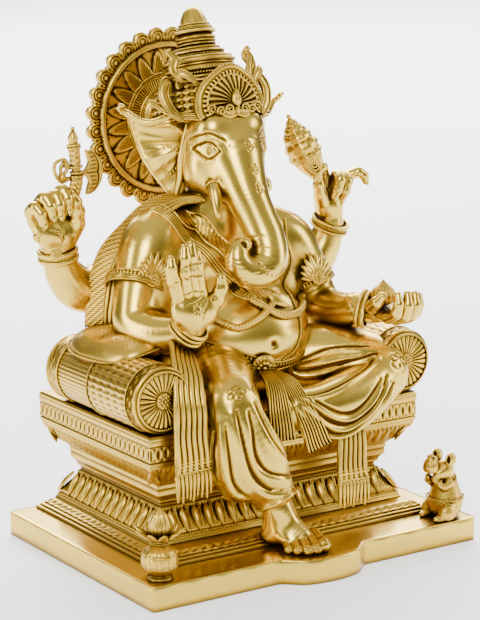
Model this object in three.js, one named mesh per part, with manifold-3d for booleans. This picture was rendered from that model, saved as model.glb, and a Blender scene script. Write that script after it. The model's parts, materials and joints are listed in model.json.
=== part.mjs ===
// A cast-brass Ganesha seated on a moulded throne, built from its separate castings.
// Millimetres, +Z up, -Y is the front. The origin is the centre of the base's footprint, on its underside.
import * as THREE from "three";
import { mergeVertices } from "three/addons/utils/BufferGeometryUtils.js";
import Module from "manifold-3d";

const wasm = await Module();
wasm.setup();

// ---------------------------------------------------------------- driving dimensions
const GAP = 0.3; // clearance kept between two castings that meet
const FIGURE_HEIGHT = 534; // cushion top to crown tip
const DRAWN_HEIGHT = 534; // the height at which the figure's stations are given
const WALL = 6; // wall of the base plate and of the throne tiers

const PLATE_THICKNESS = 34;
const PLATE_CORNER = 6;
const SIDE_LEDGE = 40; // plate showing beside the plinth
const FRONT_LEDGE = 56;
const REAR_LEDGE = 8;
const LOBE_REACH = 30; // rounded tongue under the foot, beyond the plate's front edge
const LOBE_HALF = 74;

const PLINTH_HEIGHT = 16;
const LOWER_LOTUS_HEIGHT = 44;
const WAIST_HEIGHT = 36;
const UPPER_LOTUS_HEIGHT = 36;
const SLAB_HEIGHT = 42;
const CUSHION_HEIGHT = 8;
const SLAB_HALF = 222;
const SEAT_FRONT = -100; // front face of the seat slab
const SEAT_REAR = 200;
const SEAT_CORNER = 12;
const PLINTH_TOE = 27; // plinth in front of the slab
const PLINTH_SIDE = 8;
const PLINTH_HEEL = 5;
const WAIST_IN = 36; // waist behind the slab's faces

const BOLSTER_RADIUS = 47;
const BOLSTER_OVERHANG = 26; // bolster beyond the slab's side
const BOLSTER_FRONT = -104;
const BOLSTER_REAR = 142;

const HALO_RING = 109;
const HALO_OUTER = 131;
const HALO_THICKNESS = 6;
const HALO_PETALS = 28;
const CROWN_LEAN = THREE.MathUtils.degToRad(14);

const KALASH_RADIUS = 24;
const MOUSE_HEIGHT = 102;
const BOLT_RADIUS = 4;
const BOLT_CLEARANCE = 0.4;
const BOLT_HEAD = { radius: 7.5, height: 5.5 };
const BANGLE_TUBE = 6.5; // half the width of a bangle's band
const ARMLET_TUBE = 5;

// ---------------------------------------------------------------- levels and widths that follow
const PLINTH_TOP = PLATE_THICKNESS + PLINTH_HEIGHT;
const LOWER_LOTUS_TOP = PLINTH_TOP + LOWER_LOTUS_HEIGHT;
const WAIST_TOP = LOWER_LOTUS_TOP + WAIST_HEIGHT;
const UPPER_LOTUS_TOP = WAIST_TOP + UPPER_LOTUS_HEIGHT;
const SLAB_TOP = UPPER_LOTUS_TOP + SLAB_HEIGHT;
const CUSHION_TOP = SLAB_TOP + CUSHION_HEIGHT;
const BOLSTER_X = SLAB_HALF + BOLSTER_OVERHANG - BOLSTER_RADIUS;
const K = FIGURE_HEIGHT / DRAWN_HEIGHT;
const PLINTH_HALF = SLAB_HALF + PLINTH_SIDE;
const PLATE_HALF = PLINTH_HALF + SIDE_LEDGE;
const PLINTH_FRONT = SEAT_FRONT - PLINTH_TOE;
const PLINTH_REAR = SEAT_REAR + PLINTH_HEEL;
const PLATE_FRONT = PLINTH_FRONT - FRONT_LEDGE;
const PLATE_REAR = PLINTH_REAR + REAR_LEDGE;
const LOBE_FRONT = PLATE_FRONT - LOBE_REACH;

// A point of the figure, measured from the seat's centre on top of the cushion.
const at = (x, y, z) => new THREE.Vector3(K * x, K * y, CUSHION_TOP + K * z);

// Cloth that hangs over the seat: x beside a given line, y from the slab's front, z from the cushion's top.
const hung = (line, stations) =>
  stations.map(([x, y, z, r]) => [line + x, SEAT_FRONT + y, CUSHION_TOP + z, r]);

// ---------------------------------------------------------------- shape tools
const solid = (geometry) => {
  const bare = geometry.index ? geometry.toNonIndexed() : geometry.clone();
  for (const name of Object.keys(bare.attributes)) if (name !== "position") bare.deleteAttribute(name);
  const merged = mergeVertices(bare, 1e-3);
  return new wasm.Manifold(
    new wasm.Mesh({
      numProp: 3,
      vertProperties: merged.attributes.position.array,
      triVerts: new Uint32Array(merged.index.array),
    }),
  );
};

const geometryOf = (shape) => {
  const mesh = shape.getMesh();
  return new THREE.BufferGeometry()
    .setAttribute("position", new THREE.BufferAttribute(new Float32Array(mesh.vertProperties), 3))
    .setIndex(new THREE.BufferAttribute(new Uint32Array(mesh.triVerts), 1));
};

const join = (shapes) => shapes.reduce((sum, next) => sum.add(next));

// A closed surface through a row of rings, each ring an array of points in the same order.
const skin = (rings, endsClosed = true) => {
  const count = rings[0].length;
  const points = rings.flat();
  const faces = [];
  const rows = endsClosed ? rings.length - 1 : rings.length;
  for (let i = 0; i < rows; i++)
    for (let j = 0; j < count; j++) {
      const [a, b] = [i * count + j, i * count + ((j + 1) % count)];
      const next = ((i + 1) % rings.length) * count;
      const [c, d] = [next + j, next + ((j + 1) % count)];
      faces.push(a, b, d, a, d, c);
    }
  if (endsClosed)
    for (const [row, turn] of [[0, 1], [rings.length - 1, -1]]) {
      const middle = new THREE.Vector3();
      rings[row].forEach((p) => middle.addScaledVector(p, 1 / count));
      points.push(middle);
      for (let j = 0; j < count; j++) {
        const [a, b] = [row * count + j, row * count + ((j + 1) % count)];
        faces.push(...(turn > 0 ? [points.length - 1, b, a] : [points.length - 1, a, b]));
      }
    }
  const made = solid(new THREE.BufferGeometry().setFromPoints(points).setIndex(faces));
  if (made.volume() > 0) return made;
  for (let i = 0; i < faces.length; i += 3) [faces[i + 1], faces[i + 2]] = [faces[i + 2], faces[i + 1]];
  return solid(new THREE.BufferGeometry().setFromPoints(points).setIndex(faces));
};

// An ellipsoid of the figure. grow moves its whole surface outwards.
const ball = ([x, y, z], [rx, ry, rz], grow = 0, turn = [0, 0, 0]) => {
  const sphere = new THREE.SphereGeometry(1, 10, 6);
  sphere.scale(K * rx + grow, K * ry + grow, K * rz + grow);
  sphere.rotateX(turn[0]).rotateY(turn[1]).rotateZ(turn[2]);
  const place = at(x, y, z);
  return solid(sphere.translate(place.x, place.y, place.z));
};

// A limb with domed ends through stations [x, y, z, radius] in one frame of three.js curve frames.
const limb = (stations, grow = 0, { sides = 7, figure = true } = {}) => {
  const place = (s) => (figure ? at(s[0], s[1], s[2]) : new THREE.Vector3(s[0], s[1], s[2]));
  const scale = figure ? K : 1;
  const curve = new THREE.CatmullRomCurve3(stations.map(place));
  const steps = stations.length - 1;
  const frames = curve.computeFrenetFrames(steps, false);
  const radiusAt = (t) => scale * stations[Math.round(t * steps)][3] + grow;
  const ring = (centre, radius, i) =>
    Array.from({ length: sides }, (_, j) => {
      const turn = (2 * Math.PI * j) / sides;
      return centre
        .clone()
        .addScaledVector(frames.normals[i], radius * Math.cos(turn))
        .addScaledVector(frames.binormals[i], radius * Math.sin(turn));
    });
  const dome = (i, way) => {
    const radius = radiusAt(i / steps);
    const reach = way * radius * Math.SQRT1_2;
    const centre = curve.getPoint(i / steps).addScaledVector(frames.tangents[i], reach);
    return ring(centre, radius * Math.SQRT1_2, i);
  };
  const body = Array.from({ length: steps + 1 }, (_, i) =>
    ring(curve.getPoint(i / steps), radiusAt(i / steps), i),
  );
  return skin([dome(0, -1), ...body, dome(steps, 1)]);
};

// A solid of revolution about Z. profile is [radius, z] from the bottom of the axis to its top.
const turned = (profile, segments = 16) => {
  const outline = profile.map(([r, z]) => new THREE.Vector2(r, z));
  return solid(new THREE.LatheGeometry(outline, segments).rotateX(Math.PI / 2));
};

// The same profile moved outwards by grow, corner by corner.
const grown = (profile, grow) => {
  const facing = (a, b) => new THREE.Vector2(b[1] - a[1], a[0] - b[0]).normalize();
  return profile.map((point, i) => {
    const before = i > 0 ? facing(profile[i - 1], point) : new THREE.Vector2(0, -1);
    const after = i < profile.length - 1 ? facing(point, profile[i + 1]) : new THREE.Vector2(0, 1);
    const mitre = grow / Math.max(0.35, 1 + before.dot(after));
    const radius = point[0] > 0 ? point[0] + mitre * (before.x + after.x) : 0;
    return [radius, point[1] + mitre * (before.y + after.y)];
  });
};

const slab = (shape, depth) =>
  solid(new THREE.ExtrudeGeometry(shape, { depth, bevelEnabled: false, curveSegments: 4 }));

// A flat casting standing upright, its outline in X and Z and its front face towards -Y.
const upright = (outline, depth, grow) => {
  const bevel = { bevelEnabled: grow > 0, bevelThickness: grow, bevelSize: grow, bevelSegments: 1 };
  return new THREE.ExtrudeGeometry(outline, { depth, curveSegments: 5, ...bevel });
};

// A rounded rectangle as points, counter-clockwise.
const roundedRectangle = (half, front, rear, radius) => {
  const corners = [[half, rear, 0], [-half, rear, 90], [-half, front, 180], [half, front, 270]];
  return corners.flatMap(([x, y, from]) =>
    [0, 45, 90].map((step) => {
      const turn = THREE.MathUtils.degToRad(from + step);
      const [cx, cy] = [x - Math.sign(x) * radius, y + (y === rear ? -radius : radius)];
      return new THREE.Vector2(cx + radius * Math.cos(turn), cy + radius * Math.sin(turn));
    }),
  );
};

// The rounded rectangle at a level, as one ring for skin.
const level = (half, front, rear, radius, z) =>
  roundedRectangle(half, front, rear, radius).map((p) => new THREE.Vector3(p.x, p.y, z));

// A moulded tier: a closed profile of [outset, z] swept round a rounded rectangle, hollow inside.
const tier = (profile, half, front, rear) =>
  skin(
    profile.map(([outset, z]) => {
      const corner = Math.max(2, SEAT_CORNER + outset);
      return level(half + outset, front - outset, rear + outset, corner, z);
    }),
    false,
  );

// A ring of round section about an axis.
const hoop = (centre, axis, radius, tube, squash = 1) => {
  const torus = new THREE.TorusGeometry(radius, tube, 5, 12).scale(1, 1, squash);
  const upwards = new THREE.Vector3(0, 0, 1);
  const turn = new THREE.Quaternion().setFromUnitVectors(upwards, axis.clone().normalize());
  return solid(torus.applyQuaternion(turn).translate(centre.x, centre.y, centre.z));
};

const tilted = (shape, base) => {
  const lean = -THREE.MathUtils.radToDeg(CROWN_LEAN);
  return shape.rotate([lean, 0, 0]).translate([base.x, base.y, base.z]);
};

// ---------------------------------------------------------------- the figure's stations
const MIRROR = -14; // the head's own mid-plane
const other = ([x, ...rest]) => [2 * MIRROR - x, ...rest];

const FRONT_RIGHT_ARM = [
  [-106, 64, 232, 42], [-142, 48, 186, 38], [-168, 26, 128, 33], [-156, -20, 118, 30], [-132, -60, 124, 24],
];
const FRONT_LEFT_ARM = [
  [82, 62, 208, 40], [120, 52, 172, 37], [140, 36, 116, 33], [142, -12, 110, 30], [140, -66, 120, 25],
];
const REAR_RIGHT_ARM = [
  [-92, 95, 212, 38], [-128, 112, 176, 36], [-162, 124, 152, 34], [-206, 122, 172, 30],
  [-234, 116, 205, 25],
];
const REAR_LEFT_ARM = [
  [74, 95, 194, 38], [125, 115, 160, 36], [170, 118, 142, 34], [204, 112, 170, 30], [217, 104, 205, 25],
];
const TRUNK = [
  [-14, 14, 330, 40], [-15, -8, 300, 33], [-13, -26, 272, 28], [-8, -42, 246, 25], [-4, -54, 222, 24],
  [-12, -62, 200, 23], [-32, -64, 188, 21], [-52, -62, 196, 18], [-62, -60, 214, 16], [-56, -58, 230, 12],
];
const THIGH_RIGHT = [[-48, 30, 40, 56], [-72, -36, 36, 54], [-94, -88, 26, 50]];
const SHIN_RIGHT = [[-94, -94, 20, 48], [-86, -116, -34, 39], [-66, -124, -76, 34], [-50, -128, -104, 29]];
const THIGH_LEFT = [[48, 30, 40, 56], [104, -22, 38, 52], [156, -66, 34, 45]];
const SHIN_LEFT = [[152, -70, 30, 44], [108, -94, 16, 42], [50, -100, 8, 38], [-5, -92, 12, 34]];

// ---------------------------------------------------------------- base and throne
const LOBE_NECK = { reach: 8, depth: 6 }; // the small hollow curve where the tongue leaves the plate's edge
const plateOutline = (inset) => {
  const r = PLATE_CORNER;
  const neck = LOBE_NECK;
  const [half, front, rear] = [PLATE_HALF - inset, PLATE_FRONT + inset, PLATE_REAR - inset];
  const [lobe, lobeFront] = [LOBE_HALF - inset, LOBE_FRONT + inset];
  const outline = new THREE.Shape();
  outline.moveTo(half - r, rear).lineTo(-half + r, rear).quadraticCurveTo(-half, rear, -half, rear - r);
  outline.lineTo(-half, front + r).quadraticCurveTo(-half, front, -half + r, front);
  outline.lineTo(-lobe, front);
  outline.quadraticCurveTo(-lobe + neck.reach, front, -lobe + neck.reach * 1.5, front - neck.depth);
  outline.quadraticCurveTo(-lobe * 0.6, lobeFront, 0, lobeFront);
  outline.quadraticCurveTo(lobe * 0.6, lobeFront, lobe - neck.reach * 1.5, front - neck.depth);
  outline.quadraticCurveTo(lobe - neck.reach, front, lobe, front);
  outline.lineTo(half - r, front).quadraticCurveTo(half, front, half, front + r);
  outline.lineTo(half, rear - r).quadraticCurveTo(half, rear, half - r, rear);
  return outline;
};

const CORE_INSET = 40; // the opening through the plate, inside the plinth's faces
const CORE_CORNER = 10;
const coreCut = (from, to) =>
  skin(
    [from, to].map((z) =>
      level(PLINTH_HALF - CORE_INSET, PLINTH_FRONT + CORE_INSET, PLINTH_REAR - CORE_INSET, CORE_CORNER, z),
    ),
  );

const boltInset = CORE_INSET / 2;
const THRONE_BOLTS = [-1, 1].flatMap((side) =>
  [PLINTH_FRONT + boltInset, PLINTH_REAR - boltInset].map((y) => [side * (PLINTH_HALF - boltInset), y]),
);
const KALASH_INSET = KALASH_RADIUS + 3;
const KALASH_AT = [-PLATE_HALF + KALASH_INSET, PLATE_FRONT + KALASH_INSET];
const MOUSE_INSET = [36, 26];
const MOUSE_AT = [PLATE_HALF - MOUSE_INSET[0], PLATE_FRONT + MOUSE_INSET[1]];
const SMALL_BOLTS = [KALASH_AT, MOUSE_AT];

const rod = (x, y, from, to, radius, sides = 8) => {
  const round = new THREE.CylinderGeometry(radius, radius, to - from, sides).rotateX(Math.PI / 2);
  return solid(round.translate(x, y, (from + to) / 2));
};
const BOLT_BITE = 12; // shank above the plate
const boltHole = ([x, y]) => rod(x, y, -1, PLATE_THICKNESS + BOLT_BITE + 1, BOLT_RADIUS + BOLT_CLEARANCE);
const bolt = ([x, y]) => {
  const seat = PLATE_THICKNESS - WALL;
  const head = rod(x, y, seat - BOLT_HEAD.height, seat, BOLT_HEAD.radius, 6);
  return head.add(rod(x, y, seat - 1, PLATE_THICKNESS + BOLT_BITE, BOLT_RADIUS));
};
const boltRoom = (places) => join(places.map(boltHole));

const basePlate = () => {
  const outer = slab(plateOutline(0), PLATE_THICKNESS);
  const tray = slab(plateOutline(WALL), PLATE_THICKNESS - WALL + 1).translate([0, 0, -1]);
  const core = coreCut(0, PLATE_THICKNESS + 1);
  return outer.subtract(tray).subtract(core).subtract(boltRoom([...THRONE_BOLTS, ...SMALL_BOLTS]));
};

const plinth = () =>
  tier(
    [
      [0, PLATE_THICKNESS], [0, PLATE_THICKNESS + 5], [-5, PLATE_THICKNESS + 7], [-5, PLATE_THICKNESS + 11],
      [-12, PLINTH_TOP], [-CORE_INSET, PLINTH_TOP], [-CORE_INSET, PLATE_THICKNESS],
    ],
    PLINTH_HALF, PLINTH_FRONT, PLINTH_REAR,
  ).subtract(boltRoom(THRONE_BOLTS));

// A throne tier of even wall, from its outside as [outset from the slab's faces, z] upwards.
const throneTier = (outside) => {
  const inside = outside.map(([outset, z]) => [outset - WALL, z]).reverse();
  return tier([...outside, ...inside], SLAB_HALF, SEAT_FRONT, SEAT_REAR);
};
const lowerLotus = () =>
  throneTier([
    [-6, PLINTH_TOP], [-8, PLINTH_TOP + 8], [-18, PLINTH_TOP + 14], [-20, PLINTH_TOP + 22],
    [-34, LOWER_LOTUS_TOP],
  ]);
const waist = () =>
  throneTier([
    [-WAIST_IN, LOWER_LOTUS_TOP], [-WAIST_IN - 2, LOWER_LOTUS_TOP + 12], [-WAIST_IN + 6, WAIST_TOP - 12],
    [-WAIST_IN + 6, WAIST_TOP],
  ]);
const upperLotus = () =>
  throneTier([
    [-28, WAIST_TOP], [-20, WAIST_TOP + 14], [-10, WAIST_TOP + 24], [0, WAIST_TOP + 30],
    [0, UPPER_LOTUS_TOP],
  ]);
const LID_INSET = 5;
const seatSlab = () => {
  const shell = throneTier([
    [0, UPPER_LOTUS_TOP], [-1, UPPER_LOTUS_TOP + 16], [1, UPPER_LOTUS_TOP + 20], [1, SLAB_TOP - 8],
    [-3, SLAB_TOP - 4], [-3, SLAB_TOP],
  ]);
  const lid = [SLAB_TOP - WALL, SLAB_TOP].map((z) =>
    level(SLAB_HALF - LID_INSET, SEAT_FRONT + LID_INSET, SEAT_REAR - LID_INSET, SEAT_CORNER - 4, z),
  );
  return shell.add(skin(lid));
};
const CUSHION_INSET = { front: 6, rear: 8, corner: 8, underBolster: 8 };
const seatCushion = (grow) => {
  const inset = CUSHION_INSET;
  const half = BOLSTER_X - BOLSTER_RADIUS + inset.underBolster + grow;
  const [front, rear] = [SEAT_FRONT + inset.front - grow, SEAT_REAR - inset.rear + grow];
  const edge = [[-2, SLAB_TOP - grow], [0, SLAB_TOP + 2], [0, CUSHION_TOP - 3], [-3, CUSHION_TOP + grow]];
  return skin(edge.map(([o, z]) => level(half + o, front - o, rear + o, inset.corner, z)));
};

// ---------------------------------------------------------------- bolsters and pillow
const bolster = (side) => (grow) => {
  const length = BOLSTER_REAR - BOLSTER_FRONT;
  const r = BOLSTER_RADIUS;
  const profile = [
    [0, 3], [9, 0], [r * 0.3, 5], [r * 0.8, 3], [r, 14],
    [r, length - 14], [r * 0.8, length - 3], [r * 0.3, length - 6], [0, length - 4],
  ];
  return turned(grown(profile, grow), 16)
    .rotate([-90, 0, 0])
    .translate([side * BOLSTER_X, BOLSTER_FRONT, SLAB_TOP + r - 1])
    .trimByPlane([0, 0, 1], SLAB_TOP - grow);
};
const elbowPillow = (grow) => ball([-182, 42, 84], [50, 66, 20], grow, [0, -0.18, 0.15]);

// ---------------------------------------------------------------- body
const torso = (grow) =>
  join([
    ball([0, 40, 34], [106, 92, 44], grow),
    ball([0, 15, 88], [96, 84, 74], grow),
    ball([-6, 55, 176], [104, 66, 74], grow),
    ball([-14, 66, 222], [120, 50, 42], grow, [0, 0.12, 0]),
    ball([-13, 52, 262], [52, 46, 44], grow),
  ]).trimByPlane([0, 0, 1], CUSHION_TOP - grow);

const legRight = (grow) => join([THIGH_RIGHT, SHIN_RIGHT].map((part) => limb(part, grow, { sides: 8 })));
const legLeft = (grow) => join([THIGH_LEFT, SHIN_LEFT].map((part) => limb(part, grow, { sides: 8 })));
// The foot stands on the plate, so its heights are the plate's and its places the figure's.
const onPlate = ([x, y, z, r]) => [K * x, K * y, PLATE_THICKNESS + z, r];
const footRight = (grow) => {
  const ankle = [K * -47, K * -130, CUSHION_TOP - K * 100, 22];
  const heel = [[-44, -134, 40, 22], [-38, -152, 23, 20], [-24, -176, 14, 17]].map(onPlate);
  const toes = [-14, -6, 2, 10, 18].map((step, i) => {
    const toe = [[-22 + step, -182 - i, 12, 8], [-19 + step, -189 - i * 1.5, 8, 7]].map(onPlate);
    return limb(toe, grow, { sides: 6, figure: false });
  });
  const foot = limb([ankle, ...heel], grow, { figure: false });
  return join([foot, ...toes]).trimByPlane([0, 0, 1], PLATE_THICKNESS - grow);
};
const PLEATS = [[0, 26, 40, 16], [4, 2, 16, 22], [8, -12, -12, 21], [14, -18, -44, 18], [18, -18, -62, 10]];
const dhotiPleats = (grow) => limb(hung(K * -22, PLEATS), grow, { figure: false });
const SWAG = [[126, -4, 0, 14], [76, -18, -22, 20], [36, -22, -32, 20], [0, -20, -30, 14]];
const dhotiSwag = (grow) => limb(hung(K * 24, SWAG), grow, { figure: false });
const TAIL_RIGHT = [[0, 16, 32, 14], [2, -6, 8, 17], [4, -12, -30, 16], [6, -12, -70, 18]];
const TAIL_LEFT = [[104, -12, -26, 12], [100, -10, -60, 14], [94, -8, -92, 12], [88, -16, -116, 9]];
const TAIL_BESIDE_BOLSTER = 51; // from the right bolster's axis to the tail's
const tailRight = (grow) => {
  const onLap = hung(K * -120, [[0, 20, 36, 12]]);
  const besideBolster = hung(TAIL_BESIDE_BOLSTER - BOLSTER_X, TAIL_RIGHT);
  return limb([...onLap, ...besideBolster], grow, { sides: 6, figure: false });
};
const tailLeft = (grow) => limb(hung(K * 24, TAIL_LEFT), grow, { sides: 6, figure: false });
const shawl = (grow) =>
  limb([[-104, 108, 250, 12], [-148, 92, 214, 15], [-178, 84, 160, 16], [-190, 82, 108, 15]], grow);

// ---------------------------------------------------------------- head
const head = (grow) =>
  join([
    ball([MIRROR, 72, 358], [64, 68, 60], grow),
    ball([MIRROR, 44, 318], [60, 50, 52], grow),
    ball([MIRROR - 25, 30, 366], [36, 32, 34], grow),
    ball([MIRROR + 25, 30, 366], [36, 32, 34], grow),
    limb(TRUNK, grow, { sides: 8 }),
  ]);
const TUSK = [[-52, 10, 304, 9], [-56, -6, 288, 8], [-58, -14, 270, 5]];
const tuskRight = (grow) => limb(TUSK, grow, { sides: 6 });
const tuskLeft = (grow) => limb(TUSK.slice(0, 2).map(other), grow, { sides: 6 });

// An ear as a flat fan, cut from a sheet that leaves the head outwards and back.
const EAR_THICKNESS = 7;
const EAR_SWEEP = THREE.MathUtils.degToRad(33);
const ear = (side) => (grow) => {
  const outline = new THREE.Shape();
  outline.moveTo(-6, 52).quadraticCurveTo(14, 66, 34, 54).quadraticCurveTo(58, 50, 80, 66);
  outline.quadraticCurveTo(88, 30, 70, 4).quadraticCurveTo(60, -24, 28, -52);
  outline.quadraticCurveTo(6, -40, -6, -10);
  const sheet = upright(outline, EAR_THICKNESS, grow).translate(0, 0, -EAR_THICKNESS / 2);
  const fan = solid(sheet.scale(K, K, K).rotateX(Math.PI / 2).rotateZ(EAR_SWEEP));
  const root = at(MIRROR + 54, 56, 320);
  const placed = fan.translate([root.x, root.y, root.z]);
  return side > 0 ? placed : placed.mirror([1, 0, 0]).translate([2 * MIRROR * K, 0, 0]);
};

// ---------------------------------------------------------------- crown, in its own leaning frame
const CROWN_BASE = at(MIRROR, 82, 380);
const CAP_TOP = 64 * K;
const TOWER_TOP = 118 * K;
const CROWN_TIP = 1; // radius of the blunt tip
const CROWN_RISE = CUSHION_TOP + FIGURE_HEIGHT - CROWN_BASE.z;
const CROWN_TOP = (CROWN_RISE - CROWN_TIP * Math.sin(CROWN_LEAN)) / Math.cos(CROWN_LEAN);
const CREST_DEPTH = 22;
const scaled = (profile) => profile.map(([r, z]) => [r * K, z * K]);
// One turned casting of the crown, its profile closed at the axis above and below.
const crownPiece = (profile, grow, segments) => {
  const closed = [[0, profile[0][1]], ...profile, [0, profile.at(-1)[1]]];
  return tilted(turned(grown(closed, grow), segments), CROWN_BASE);
};
const crownCap = (grow) => {
  const side = scaled([[74, -6], [77, 4], [74, 12], [74, 30], [62, 50]]);
  return crownPiece([...side, [46 * K, CAP_TOP]], grow, 18);
};
const crownTower = (grow) => {
  const rings = scaled([[48, 70], [41, 76], [43, 84], [35, 90], [36, 97], [28, 103], [30, 112]]);
  return crownPiece([[46 * K, CAP_TOP + GAP], ...rings, [27 * K, TOWER_TOP]], grow);
};
const crownFinial = (grow) => {
  const foot = [[25 * K, TOWER_TOP + GAP], [23 * K, TOWER_TOP + 9], [19 * K, TOWER_TOP + 20]];
  const point = [[13 * K, CROWN_TOP - 12], [6 * K, CROWN_TOP - 3], [CROWN_TIP, CROWN_TOP]];
  return crownPiece([...foot, ...point], grow, 20);
};
const crownCrest = (grow) => {
  const arch = new THREE.Shape();
  arch.moveTo(-50, 0).quadraticCurveTo(-54, 34, -26, 52).quadraticCurveTo(-10, 58, 0, 70);
  arch.quadraticCurveTo(10, 58, 26, 52).quadraticCurveTo(54, 34, 50, 0);
  arch.quadraticCurveTo(26, 14, 0, 2).quadraticCurveTo(-26, 14, -50, 0);
  const plate = upright(arch, CREST_DEPTH, grow).scale(K, K, K).rotateX(Math.PI / 2);
  return tilted(solid(plate).translate([0, -58 * K, -2 * K]), CROWN_BASE);
};

// ---------------------------------------------------------------- halo
const HALO_NOTCH = 14;
const HALO_CENTRE = at(MIRROR, 193, 371);
const HALO_FACE = HALO_CENTRE.y - HALO_THICKNESS / 2;
const haloDisc = () => {
  const rim = new THREE.Shape();
  const steps = HALO_PETALS * 2;
  for (let i = 0; i <= steps; i++) {
    const turn = (2 * Math.PI * i) / steps;
    const radius = K * (HALO_OUTER - HALO_NOTCH * (1 - Math.abs(Math.sin((HALO_PETALS * turn) / 2))));
    rim[i ? "lineTo" : "moveTo"](radius * Math.cos(turn), radius * Math.sin(turn));
  }
  const disc = slab(rim, HALO_THICKNESS).rotate([90, 0, 0]);
  const placed = disc.translate([HALO_CENTRE.x, HALO_CENTRE.y + HALO_THICKNESS / 2, HALO_CENTRE.z]);
  const bead = HALO_CENTRE.clone().setY(HALO_FACE - 1);
  return placed.add(hoop(bead, new THREE.Vector3(0, 1, 0), HALO_RING * K, 4));
};
const HALO_HUB = 34; // boss behind the head that carries the disc
const HALO_NECK = 16;
const haloStem = () => {
  const back = at(MIRROR, 118, 371).y;
  const [neck, hub, face] = [HALO_NECK * K, HALO_HUB * K, HALO_FACE - GAP];
  const flare = [[neck, HALO_FACE - 12], [hub, HALO_FACE - 6]];
  return turned([[0, back], [neck, back], ...flare, [hub, face], [0, face]])
    .rotate([-90, 0, 0])
    .translate([HALO_CENTRE.x, 0, HALO_CENTRE.z]);
};

// ---------------------------------------------------------------- hands and what they hold
const arm = (stations) => (grow) => limb(stations, grow, { sides: 8 });
const finger = (path, grow) => limb(path, grow, { sides: 5 });
const handRaised = (grow) => {
  const fingers = [-22, -8, 6, 19].map((x, i) => {
    const length = [40, 50, 52, 46][i];
    const knuckle = [-129 + x * 1.06, -76, 182 + length / 2, 7.5];
    return finger([[-128 + x, -74, 182, 8], knuckle, [-130 + x * 1.1, -75, 178 + length, 6]], grow);
  });
  const thumb = finger([[-108, -78, 146, 10], [-94, -86, 160, 8.5], [-90, -90, 180, 7]], grow);
  const wrist = limb([[-132, -60, 126, 22], [-129, -70, 144, 22]], grow);
  return join([wrist, ball([-127, -74, 160], [29, 14, 32], grow), thumb, ...fingers]);
};
const handOpen = (grow) => {
  const fingers = [0, 13, 26, 38].map((step, i) => {
    const knuckle = [160 + step, -132 + i * 2, 126, 8];
    const tip = [161 + step, -130 + i * 2, 148 - i * 2, 6.5];
    return finger([[158 + step, -118 + i * 2, 112, 8], knuckle, tip], grow);
  });
  const thumb = finger([[142, -92, 128, 9], [138, -112, 136, 8], [142, -122, 146, 6.5]], grow);
  const wrist = limb([[141, -68, 120, 22], [152, -86, 116, 20]], grow);
  return join([wrist, ball([170, -102, 112], [32, 26, 13], grow, [0, 0, -0.35]), thumb, ...fingers]);
};
const fist = (grow) => {
  const fingers = [0, 14, 28, 42].map((step) => {
    const knuckle = [-258 + step * 0.3, 92, 244 + step, 8.5];
    const tip = [-240 + step * 0.2, 88, 242 + step, 8];
    return finger([[-262 + step * 0.25, 110, 240 + step, 8], knuckle, tip], grow);
  });
  const thumb = finger([[-222, 104, 240, 11], [-216, 98, 262, 9.5], [-222, 92, 282, 8]], grow);
  const wrist = limb([[-237, 115, 206, 24], [-241, 112, 226, 24]], grow);
  return join([wrist, ball([-240, 112, 250], [24, 20, 36], grow), thumb, ...fingers]);
};
const handPinch = (grow) => {
  const fingers = [0, 12, 23].map((step, i) => {
    const knuckle = [226 + step * 0.7, 84, 280 - i * 8, 7.5];
    const tip = [216 + step * 0.9, 76, 268 - i * 9, 7];
    return finger([[222 + step * 0.8, 98, 262 - i * 6, 8], knuckle, tip], grow);
  });
  const index = finger([[208, 98, 262, 9], [198, 88, 284, 8.5], [188, 84, 292, 7]], grow);
  const thumb = finger([[200, 98, 244, 10], [190, 90, 262, 8.5], [186, 88, 276, 7]], grow);
  const wrist = limb([[217, 104, 206, 23], [217, 102, 226, 22]], grow);
  return join([wrist, ball([214, 100, 244], [25, 18, 28], grow), index, thumb, ...fingers]);
};
const AXE_SHAFT = [
  [-258, 100, 226, 8], [-244, 100, 256, 8], [-226, 104, 296, 9], [-220, 106, 344, 11], [-219, 107, 372, 10],
  [-219, 107, 384, 4],
];
const axeShaft = (grow) => limb(AXE_SHAFT, grow);
const BLADE_THICKNESS = 7;
const axeHead = (grow) => {
  const blade = new THREE.Shape();
  blade.moveTo(0, -8).lineTo(10, -12).quadraticCurveTo(26, -22, 22, -36).quadraticCurveTo(50, -20, 52, 2);
  blade.quadraticCurveTo(50, 24, 24, 38).quadraticCurveTo(26, 22, 10, 12).lineTo(0, 8);
  const sheet = slab(blade, BLADE_THICKNESS + 2 * grow).scale([K, K, K]).rotate([90, 0, 0]);
  const root = at(-214, 111 + grow, 318);
  return sheet.translate([root.x, root.y, root.z]);
};
const CONCH = [
  [194, 92, 268, 7], [180, 92, 290, 16], [162, 92, 318, 24], [148, 94, 346, 19], [138, 95, 368, 6],
];
const conch = (grow) => limb(CONCH, grow, { sides: 8 });
const modak = (grow) => ball([158, -104, 141], [16, 16, 17], grow);

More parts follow.
